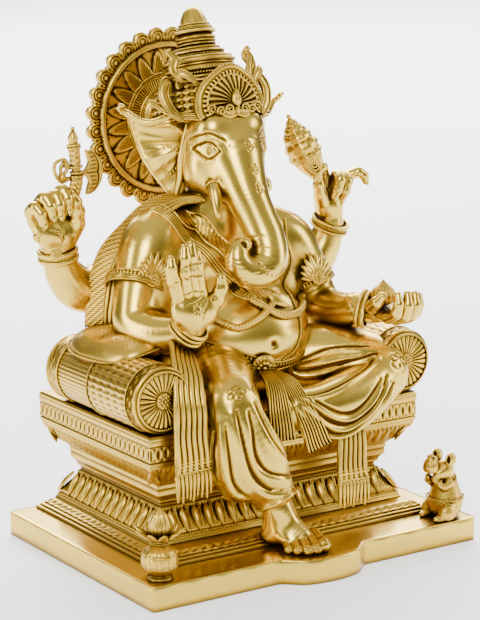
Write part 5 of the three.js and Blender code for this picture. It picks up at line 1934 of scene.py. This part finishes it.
def chest(body_skin):
    """The corded chest sash with folds beside it, its pendant, and the snake tied round the belly."""
    line = at(
        [
            [-112, 54, 268], [-98, 34, 254], [-76, 10, 226], [-56, -8, 196], [-36, -22, 172],
            [-12, -38, 154], [8, -48, 142]
        ]
    )
    spine = resample(spline(line, 80), 0.9)
    shift = np.array((15, 0, 12)) * K
    sash = band(
        spine + shift, None, 27 * K, lambda t, s: 1.0 + chased(13)(t, s) + 0.5 * cords(s, 0.08), 29, 3,
        body_skin
    )
    beside = band(
        spine - 0.35 * shift, None, 15 * K, lambda t, s: 0.3 + pleated(4, 2.4)(t, s), 25, 2.5, body_skin
    )
    loops = [
        [24, -42, 146], [11, -50, 140], [-11, -57, 125], [-30, -58, 116], [-50, -53, 109],
        [-61, -43, 112], [-72, -28, 118], [-86, -6, 124], [-96, 20, 128], [-98, 52, 130], [-82, 98, 136],
        [-20, 120, 140], [60, 110, 136], [94, 70, 130], [98, 30, 126], [78, -14, 120], [47, -51, 118],
        [24, -60, 118], [8, -60, 122], [-9, -50, 132], [-20, -40, 142]
    ]
    cord = body_skin.lay(resample(spline(at(loops), 260), 1.2), 3.6)[0]
    snake = tube(relax_path(cord), 4.6, 12, section=lambda turn: 1 + 0.05 * np.cos(4 * turn))
    scales = rope(relax_path(cord), 5.2, 3, 15, 5)
    hood, way = body_skin.lay(at([[14, -50, 144]]), 4)
    crest = leaf(hood[0] - (10, 0, -8), (0.8, -0.25, -0.5), way[0], 34, 19, 0.25, 1, 12, 9)
    eyes = [blob(hood[0] + np.array(e) + way[0] * 3.5, (1.1,) * 3) for e in ((5, 0, 1), (1, 0, -6))]
    knot, out = body_skin.lay(at([[-20, -40, 158], [-10, -44, 150], [-22, -50, 164]]), 1.5)
    clasps = [rosette(knot[0], out[0], 9), rosette(knot[1], out[1], 7)]
    drop = rosette(knot[2] + out[2] * 2, out[2], 7, 7)
    tip = leaf(knot[2] + out[2], (0.25, -0.25, -0.9), out[2], 17, 9, 0.3, 1)
    piece(
        "chest_sash_cast", merge([sash, beside, snake, scales, crest, *eyes, *clasps, drop, tip]),
        ["chest_sash"]
    )


def shawl():
    """The cloth falling behind the right arm: pleats, a hatched panel and a beaded edge."""
    line = spline(
        at(
            [
                [-52, 34, 280], [-84, 50, 276], [-118, 56, 262], [-150, 60, 234], [-176, 68, 198],
                [-186, 76, 150], [-188, 80, 100]
            ]
        ),
        360
    )
    ways = unit(
        spline(
            [
                [0.3, -0.5, 0.8], [0, -0.35, 0.95], [-0.4, -0.4, 0.85], [-0.7, -0.4, 0.6],
                [-0.85, -0.5, 0.2], [-0.85, -0.52, 0], [-0.85, -0.52, 0]
            ],
            360
        )
    )
    width = np.interp(np.arange(360), [0, 120, 240, 359], [26, 44, 50, 52]) * K
    cloth = band(
        line, ways, width,
        lambda t, s: np.where(
            s > 0.15, 3.0 * pleated(6, 1)(t, s),
            1.4 + 0.6 * np.sin((t + 9 * s) / 4.5 * TAU) * np.sin((t - 9 * s) / 9 * TAU) * (s < 0.05)
        ),
        61, 3
    )
    along = unit(np.gradient(line, axis=0))
    sides = np.cross(unit(ways - along * (ways * along).sum(1)[:, None]), along)
    hems = [beads(line + sides * (width / 2 * s)[:, None] + ways * 0.8, 1.9, 1.0) for s in (-1, 1)]
    piece("shawl_cloth", merge([cloth, *hems]), ["shawl"])


def tail(name, replaces, line, width, fringe, turn=(0, -1, 0)):
    """A hanging sash end: folds gathered at the top, two header bands, then tassels."""
    path = spline(at(line), 70)
    ways = np.tile(np.array(turn, float), (70, 1))
    spread = np.interp(np.arange(70), [0, 20, 69], [width * 0.72, width * 0.9, width]) * K
    parts = [band(path, ways, spread, lambda t, s: 1.2 + pleated(6, 3.4)(t, s), 49, 3)]
    low, down = path[-1], unit(path[-1] - path[-8])
    side = unit(np.cross(ways[0], down))
    for lift in (0, 9):
        ends = [
            low - down * lift + side * w * width * K / 2 + ways[0] * 2.4 for w in np.linspace(-1, 1, 12)
        ]
        parts += [rope(np.array(ends), 2.3, 3, 6), beads(np.array(ends) - down * 4.4, 1.4, 1.1)]
    for i, w in enumerate(np.linspace(-0.93, 0.93, 9)):
        root = low + side * w * width * K / 2
        end = root + down * (fringe + 3 * math.sin(2.1 * i)) * K + side * 1.5 * math.sin(i)
        parts.append(
            tube(
                spline([root, root + down * fringe * 0.3 + ways[0] * 2, end], 14),
                np.interp(np.arange(14), [0, 3, 9, 13], [2.0, 3.4, 3.0, 1.4]), 12,
                section=lambda a: 1 + 0.14 * np.cos(6 * a)
            )
        )
        parts.append(tube(ring_round(root + down * 5, root + down * 7, 3.5, 10), 0.8, 5, closed=True))
    piece(name, merge(parts), [replaces])


def pleats():
    """The narrow pleats that fall from the buckle between the legs, in two fans."""
    parts = []
    for line, width in (
        ([[-22, -74, 50], [-27, -104, 38], [-33, -126, 8], [-34, -134, -34]], (18, 40)),
        ([[-10, -76, 48], [-3, -108, 34], [12, -130, -10], [28, -136, -52]], (16, 38))
    ):
        path = spline(at(line), 70)
        ways = unit(spline([[-0.1, -0.5, 0.85], [-0.1, -0.8, 0.6], [-0.2, -1, 0.1], [-0.2, -1, 0]], 70))
        parts.append(
            band(
                path, ways, np.linspace(*width, 70) * K,
                lambda t, s: pleated(8, 3.6)(t, s) * np.clip(t / 30, 0.4, 1), 65, 4
            )
        )
    piece("dhoti_pleats_cloth", merge(parts), ["dhoti_pleats"])


def foot():
    """The right foot with its five toes and nails, and the chased cuff round the ankle."""
    clay = Clay(at([-72, -206, -184])[0], at([26, -96, -86])[0], 1.1)
    clay.limb(
        at([[-42, -124, -98, 23], [-40, -128, -120, 20], [-38, -130, -140, 20], [-40, -124, -164, 18]]), 8
    )
    clay.limb(at([[-38, -132, -130, 19], [-28, -142, -150, 17], [-18, -158, -164, 14]]), 10)
    clay.limb(at([[-36, -140, -160, 15], [-34, -156, -170, 11]]), 10)
    toes = [
        [[2, -160, -166, 9.5], [0, -174, -170, 9], [-3, -187, -172, 9.4]],
        [[-9, -160, -166, 8], [-12, -176, -169, 7.4], [-16, -190, -174, 7.2]],
        [[-20, -158, -166, 7.6], [-24, -173, -170, 7], [-28, -187, -175, 6.8]],
        [[-29, -154, -167, 7.2], [-34, -166, -171, 6.6], [-38, -178, -176, 6.4]],
        [[-37, -148, -168, 6.8], [-42, -158, -172, 6.2], [-45, -167, -177, 5.8]]
    ]
    for toe in toes:
        clay.limb(at(toe), 1.6)
        clay.ball(at(toe[-1][:3])[0], (toe[-1][3] * 1.12,) * 3, 2)
    clay.floor(PLATE_TOP)
    v, f = clay.skin()
    v = relax(v, f, 2, 0.5)
    nails = [nail(at(toe), unit((0, -0.35, 1))) for toe in toes]
    middle, axis = at([-43, -127, -108])[0], unit((0.33, -0.32, -0.89))
    ring = ring_round(middle, middle + axis, 28 * K, 260)
    cuff = [band(ring, unit(ring - middle), 15 * K, chased(9), 17, 3, None, True)]
    cuff += [
        tube(ring_round(middle + axis * h, middle + axis * (h + 1), 29.5 * K, 60), 2.2, 8, closed=True)
        for h in (-9, 9)
    ]
    piece("foot_right_cast", merge([(v, f), *nails, *cuff]), ["foot_right"], "polished_brass", 1.6)


def bolster(side):
    """A round bolster: rosette ends, zigzag border, draped diaper cloth with a beaded edge, ticking."""
    low, high = node("bolster_right" if side < 0 else "bolster_left")
    x, z, r, front, rear = (
        low[0] + high[0]
    ) / 2, (low[2] + high[2]) / 2, (high[0] - low[0]) / 2, low[1], high[1]
    turn = np.arange(300) / 300 * TAU
    rows = []
    for u in np.linspace(0.02, 1, 40):  # front face: flutes between a button and a cord
        q = u * (r - 6)
        flute = 3.0 * np.abs(np.sin(14 * turn)) ** 0.8 * math.sin(
            np.clip((q - 11) / (r - 19), 0, 1) * math.pi
        ) ** 0.5
        y = front + 3.4 - flute - (2.5 if r - 9 < q < r - 6.5 else 0)
        rows.append(np.column_stack([x + q * np.cos(turn), y + 0 * turn, z + q * np.sin(turn)]))
    for t in np.linspace(0, rear - front - 8, 170):
        soft = r - 1.8 - 4.6 * math.exp(-t / 2.2)
        if t < 5:
            lift = 1.6 * abs(math.sin(t * math.pi / 5)) + 0 * turn
        elif t < 21:
            lift = 0.9 * np.sign(
                np.sin(18 * turn + 2.2 * abs((t - 5) % 10.6 - 5.3))
            ) * np.abs(np.sin(18 * turn + 2.2 * abs((t - 5) % 10.6 - 5.3))) ** 0.5
        elif t < 122:
            lift = 0.9 + 0.8 * np.cos(16 * turn + t / 6) * np.cos(16 * turn - t / 6)
        elif t < 205:
            lift = 0.8 * np.abs(np.sin(24 * turn)) ** 0.5 - 0.8
        else:
            lift = 0.8 * np.sin(12 * turn + 3 * math.sin(t / 3)) * math.cos(t / 2.4)
        rows.append(
            np.column_stack(
                [
                    x + (soft + lift) * np.cos(turn), front + 4 + t + 0 * turn,
                    z + (soft + lift) * np.sin(turn)
                ]
            )
        )
    for u in (0.9, 0.6, 0.02):
        rows.append(
            np.column_stack(
                [x + u * (r - 3) * np.cos(turn), rear - 1 + 0 * turn, z + u * (r - 3) * np.sin(turn)]
            )
        )
    keep = z - r + 0.3
    rows = [np.column_stack([p[:, :2], np.maximum(p[:, 2], keep)]) for p in rows]
    ring = lambda y, q, n=120: np.column_stack(
        [x + q * np.cos(np.arange(n) / n * TAU), np.full(n, y), z + q * np.sin(np.arange(n) / n * TAU)]
    )
    extra = [
        beads(ring(front + 126, r - 0.4, 160), 1.7, 1.05),
        beads(ring(front + 25, r - 0.6, 160), 1.4, 1.05),
        tube(ring(front + 209, r - 1), 1.6, 6, closed=True),
        rosette(np.array([x, front + 2.0, z]), (0, -1, 0), 12, 6, 1.4),
        beads(ring(front + 1.2, r - 8), 1.6, 1.1), tube(ring(rear - 5, r - 2.2), 2.0, 6, closed=True)
    ]
    name = "bolster_right" if side < 0 else "bolster_left"
    piece(name + "_cast", merge([grid(rows), *extra]), [name])


def pillow():
    """The flat pillow under the right elbow: piped seam, dotted cover, beads along its edge."""
    low, high = node("elbow_pillow")
    middle = (low + high) / 2
    turn = np.arange(160) / 160 * TAU
    foot_x, foot_y = 56 * np.sign(
        np.cos(turn)
    ) * np.abs(np.cos(turn)) ** 0.7, 74 * np.sign(np.sin(turn)) * np.abs(np.sin(turn)) ** 0.7
    rows = []
    for way, shares in ((1, np.linspace(0.02, 1, 44)), (-1, np.linspace(1, 0.02, 24))):
        for u in shares:
            px, py = foot_x * u, foot_y * u
            sag = -0.0042 * np.clip(-px - 14, 0, None) ** 2
            dots = 1.0 * np.clip(np.cos(px / 8 * TAU) * np.cos(py / 8 * TAU), 0, 1) ** 2
            rows.append(
                np.column_stack(
                    [
                        px, py,
                        way * (19 * (1 - u**3.5) ** 0.6 + 0.6 + dots * (u < 0.9)) + sag
                        + 1.6 * np.sin(py / 9 + px / 14) * (way > 0) * (1 - u**4)
                    ]
                )
            )
    seam = np.column_stack([foot_x, foot_y, -0.0042 * np.clip(-foot_x - 14, 0, None) ** 2])
    seam = np.vstack([seam, seam[:1]])
    mesh = merge(
        [
            grid(rows), tube(seam[:-1], 1.8, 6, closed=True),
            beads(seam * (1.03, 1.03, 1) + (0, 0, 1.5), 1.7, 1.1)
        ]
    )
    spin = np.array(Matrix.Rotation(0.15, 3, "Z") @ Matrix.Rotation(-0.18, 3, "Y"))
    piece("elbow_pillow_cloth", (mesh[0] * K @ spin.T + middle + (-2, -6, 4), mesh[1]), ["elbow_pillow"])


def axe():
    """The axe: wrapped shaft with collars and a knob, a ring with its ball, an engraved blade."""
    line = spline(
        at(
            [
                [-272, 106, 232], [-252, 106, 246], [-226, 107, 268], [-210, 107, 300], [-211, 107, 336],
                [-214, 107, 360]
            ]
        ),
        140
    )
    u = np.linspace(0, 1, 140)
    stops = ((0.66, 1.6), (0.78, 1.2), (0.86, 1.8), (0.90, 2.2), (0.95, 1.4))
    radius = 7.4 - 1.4 * u + sum(high * np.exp(-(((u - where) / 0.012) ** 2)) for where, high in stops)
    knob = turned(
        [
            [0.2, 20], [2, 19], [3.4, 16.5], [2, 14], [4.4, 11], [6.8, 6], [7.6, 2], [6, -1], [5, -4],
            [0.2, -4]
        ],
        line[-1], 32
    )
    wraps = [rope(line[30:92], 8.4, 3, 20, 8), rope(line[104:128], 7.4, 2, 14, 8)]
    collars = [
        tube(ring_round(line[i], line[i + 1], 8.2, 24), 1.9, 8, closed=True)
        for i in (4, 12, 92, 96, 102, 128, 133)
    ]
    piece("axe_shaft_cast", merge([tube(line, radius, 24), *wraps, knob, *collars]), ["axe_shaft"])
    root = at([-201, 111, 315])[0]
    s = np.linspace(-1, 1, 81)
    inner = np.where(
        np.abs(s) < 0.5, 12.5 * np.abs(np.sin(s * math.pi)) ** 0.7, 12.5 - 4 * (np.abs(s) - 0.5) / 0.5
    )
    outer = 8.8 + 26 * np.sqrt(1 - s**2)
    share = np.linspace(0, 1, 24)
    x = inner[:, None] + (outer - inner)[:, None] * share
    fan = np.abs(np.sin(11 * s * math.pi / 2))[:, None] ** 0.6 * (share > 0.1) * (share < 0.68)
    high = 3.2 - 1.6 * share + 0.9 * fan - 1.0 * (np.abs(share - 0.76) < 0.04)
    z = 31 * s[:, None] * (0.94 + 0.06 * share)
    front, back = [np.stack([root[0] + x * K, root[1] + w * high, root[2] + z * K], -1) for w in (-1, 1)]
    tongue = tube(root + np.array([[-10, 0, 0], [2, 0, 0], [8, 0, 0]]), [6, 4, 3], 10)
    rings = [
        spline(
            root + np.array(
                [
                    [-16, -1, 8], [-25, 0, 20 * q], [-38 * q, 0, 16 * q], [-40 * q, 0, 4],
                    [-30, 0, -10 * q], [-16, -1, -6]
                ]
            ),
            40
        )
        for q in (1.0, 0.76, 0.55)
    ]
    loops = [tube(r, 2.6, 10) for r in rings] + [blob(root + (-28, -2, -4), (5, 5, 5.5), rings=8, sides=12)]
    piece(
        "axe_blade_cast",
        merge([grid(capped(np.concatenate([front, back[:, ::-1]], 1))), tongue, *loops]), ["axe_blade"]
    )


def offerings():
    """Conch, modak, and the water pot with its coconut."""
    clay = spline(
        at(
            [
                [193, 92, 272, 5], [181, 92, 290, 15], [164, 92, 314, 23], [149, 94, 342, 18],
                [141, 95, 360, 8], [138, 95, 366, 4]
            ]
        ),
        90
    )
    t = np.linspace(0, 1, 90)
    ridge = 1 + 0.16 * np.abs(np.sin(t * 9 * math.pi)) * (t > 0.40)
    shell = tube(clay[:, :3], clay[:, 3] * ridge, 48, section=lambda a: 1 + 0.02 * np.cos(12 * a))
    middle, axis = clay[34, :3], unit(clay[60, :3] - clay[20, :3])
    face = unit(np.array((-0.35, -0.9, 0.1)) - axis * np.dot((-0.35, -0.9, 0.1), axis))
    side = np.cross(axis, face)
    slits = []
    for grow in (0.35, 0.6, 0.85, 1.1):
        loop = np.array(
            [
                middle + axis * 22 * grow * math.cos(a) + side * 9.5 * grow * math.sin(a)
                + face * (22.5 - 2.4 * grow)
                for a in np.arange(40) / 40 * TAU
            ]
        )
        slits.append(tube(loop, 1.5, 8, closed=True))
    strings = [
        beads(ring_round(clay[i, :3], clay[i + 1, :3], clay[i, 3] * 1.06, 60), 1.5, 1.05)
        for i in (58, 66, 73, 79)
    ]
    top = turned(
        [[0.2, 9], [2.5, 8], [3.6, 5], [2.2, 2], [4.6, -1], [0.2, -4]], clay[-1, :3], 20,
        -unit(clay[-8, :3] - clay[-1, :3])
    )
    piece("conch_cast", merge([shell, *slits, *strings, top]), ["conch"])

    centre = at([158, -104, 141])[0]
    dome = spline([[0.3, -14], [9, -14], [15.5, -8], [16.5, 0], [13, 8], [7, 14], [3, 18], [0.3, 22]], 50)
    sweet = turned(
        dome, centre, 96, wave=lambda a, u: 1 + 0.07 * np.abs(np.sin(9 * a)) * math.sin(u * math.pi)
    )
    piece(
        "modak_cast",
        merge(
            [
                sweet, beads(ring_round(centre + (0, 0, -8), centre, 15.6, 60), 1.5, 1.1),
                beads(ring_round(centre + (0, 0, 8), centre + (0, 0, 9), 13.2, 50), 1.1, 1.1)
            ]
        ),
        ["modak"]
    )

    low, high = node("kalash_pot")
    x, y, r = (low[0] + high[0]) / 2, (low[1] + high[1]) / 2, (high[0] - low[0]) / 2
    z = PLATE_TOP
    profile = spline(
        [
            [0.3, 0.2], [r * 0.62, 0.2], [r * 0.64, 3], [r * 0.5, 6], [r * 0.62, 9], [r * 0.92, 18],
            [r, 28], [r * 0.88, 39], [r * 0.52, 47], [r * 0.46, 50], [r * 0.68, 54], [r * 0.3, 54],
            [0.3, 53]
        ],
        110
    )
    pot = turned(
        profile, (x, y, z), 120,
        wave=lambda a, u: 1 + 0.03 * np.abs(np.sin(9 * a + 4 * u)) * (0.3 < u < 0.62)
    )
    hoops = [
        beads(ring_round((x, y, z + h), (x, y, z + h + 1), q, 90), 1.3, 1.05)
        for h, q in ((19, r * 0.95), (37, r * 0.93), (50, r * 0.52))
    ]
    hoops += [
        tube(ring_round((x, y, z + h), (x, y, z + h + 1), q, 60), 1.2, 6, closed=True)
        for h, q in ((3, r * 0.66), (22, r * 0.98), (34, r * 0.97))
    ]
    piece("kalash_pot_cast", merge([pot, *hoops]), ["kalash_pot"])
    top, foot_z = node("kalash_coconut")[1][2], z + 52
    nut = spline(
        [
            [0.3, foot_z], [9, foot_z + 2], [14, foot_z + 14], [13.6, foot_z + 24], [9, foot_z + 36],
            [4, top - 3], [0.3, top + 1]
        ],
        60
    )
    husk = turned(
        nut, (x, y, 0), 90,
        wave=lambda a, u: 1 + 0.025 * np.cos(15 * a + 2 * u) - 0.05 * (
            abs(u - 0.72) < 0.02
        ) - 0.05 * (abs(u - 0.8) < 0.02)
    )
    blades = []
    for i in range(9):
        a = i / 9 * TAU + 0.2
        d = np.array([math.cos(a), math.sin(a), 0])
        blades.append(
            leaf(
                np.array([x, y, foot_z - 1]) + d * r * 0.3, unit(d + (0, 0, 0.72)),
                unit((0, 0, 1) - 0.5 * d), 31, 15, 0.2, 3, 12, 9
            )
        )
    piece("kalash_coconut_cast", merge([husk, *blades]), ["kalash_coconut"])


def mouse():
    """The mouse sitting up on his heap, holding a sweet, with round ears, collar and tail."""
    low, high = node("mouse")
    m = (high[2] - low[2]) / 100
    ox, oy, oz = (low[0] + high[0]) / 2 + 2, (low[1] + high[1]) / 2, low[2]
    place = lambda p: np.array(
        [
            [ox + a * m, oy + b * m, oz + c * m, *rest]
            for a, b, c, *rest in np.atleast_2d(np.array(p, float)).tolist()
        ]
    )
    clay = Clay((low - 14), (high + (14, 14, 4)), 1.1)
    put = lambda c, q, k=7: clay.ball(place(c)[0], np.array(q) * m, k)
    put((4, 2, 22), (25, 25, 26))
    put((2, 0, 46), (18, 17, 22), 12)
    put((-4, -4, 72), (14, 14, 14), 8)
    put((-16, -8, 68), (9, 7, 7), 8)
    for s in (-1, 1):
        put((-2, s * 15 - 1, 88), (9, 6, 10), 3)
        put((-8, s * 19, 12), (15, 10, 12), 6)
        put((-20, s * 16, 4), (11, 6, 5), 4)
        clay.limb(place([[-2, s * 15, 54, 6 * m], [-14, s * 14, 50, 5 * m], [-24, s * 7, 62, 4.4 * m]]), 4)
        clay.ball(place((-8, s * 15 - 2, 89))[0], (4 * m, 3 * m, 6 * m), 2, cut_out=True)
    clay.floor(low[2] + 0.2)
    v, f = clay.skin()
    v = relax(v, f, 2, 0.5)
    n = normals_of(v, f)
    grain = np.sin(v[:, 2] * 2.0 + 3 * np.sin(v[:, 0] / 4)) * np.sin(v[:, 1] * 1.1)
    v = v + n * (0.28 * grain * (v[:, 2] < low[2] + 60 * m))[:, None]
    tail_line = spline(place([[26, 6, 10], [30, 14, 20], [26, 18, 34], [22, 12, 44]])[:, :3], 30)
    collar = [
        beads(ring_round(place((-1, -2, 58))[0], place((-3, -4, 64))[0], 16 * m, 40), 1.6, 1.05),
        tube(
            ring_round(place((-1, -2, 56))[0], place((-3, -4, 62))[0], 16.5 * m, 40), 1.3, 6, closed=True
        )
    ]
    eyes = [blob(place((-14, s * 10 - 5, 76))[0], (1.7,) * 3, rings=6) for s in (-1, 1)]
    cuffs = [
        tube(
            ring_round(place((-19, s * 11, 56))[0], place((-24, s * 7, 62))[0], 5.6 * m, 20), 1.1, 6,
            closed=True
        )
        for s in (-1, 1)
    ]
    sash_line = ring_round(place((3, 1, 30))[0], place((3, 1, 31))[0], 26.5 * m, 70)
    piece(
        "mouse_cast",
        merge(
            [
                (v, f), tube(tail_line, np.linspace(3.4, 1.4, 30), 10), *collar, *eyes, *cuffs,
                beads(sash_line, 1.5, 1.1)
            ]
        ),
        ["mouse"]
    )
    s_low, s_high = node("mouse_sweet")
    middle, q = (s_low + s_high) / 2, (s_high[0] - s_low[0]) / 2
    ball = turned(
        spline(
            [[0.3, -q], [q * 0.8, -q * 0.7], [q, 0], [q * 0.7, q * 0.8], [2, q * 1.2], [0.3, q * 1.5]], 30
        ),
        middle, 54, wave=lambda a, u: 1 + 0.06 * np.abs(np.sin(6 * a)) * math.sin(u * math.pi)
    )
    heap = [
        blob(middle + np.array(o), (3.6,) * 3, rings=7, sides=10)
        for o in ((-5, -4, q), (4, -5, q), (0, 4, q + 1), (0, -1, q + 4))
    ]
    piece("mouse_sweet_cast", merge([ball, *heap]), ["mouse_sweet"])


def bolts():
    """The hidden fastenings keep their CAD shape and take the steel."""
    for obj in bpy.data.objects:
        if obj.type == "MESH" and "_bolt" in obj.name:
            obj.data.materials.clear()
            obj.data.materials.append(MATERIALS["steel_fastener"])


throne()
piece("base_plate_cast", base_plate(), ["base_plate"], "polished_brass")
cushion()
BODY = body()
legs()
head()

crown_cap()
crown_tower()
crown_crest()
halo()
ears()
tusks()
hands()
jewels(BODY)
chest(BODY)
shawl()
tail(
    "sash_tail_right_cloth", "sash_tail_right",
    [
        [-126, -10, 98], [-142, -48, 98], [-158, -88, 72], [-168, -112, 34], [-169, -116, 0],
        [-169, -118, -30], [-168, -119, -58]
    ],
    54, 38
)
tail(
    "sash_tail_left_cloth", "sash_tail_left",
    [[104, -108, -22], [98, -114, -46], [96, -118, -80], [95, -122, -112]], 52, 36
)
pleats()
foot()
bolster(-1)
bolster(1)
pillow()
axe()
offerings()
mouse()
bolts()
camera()
studio()
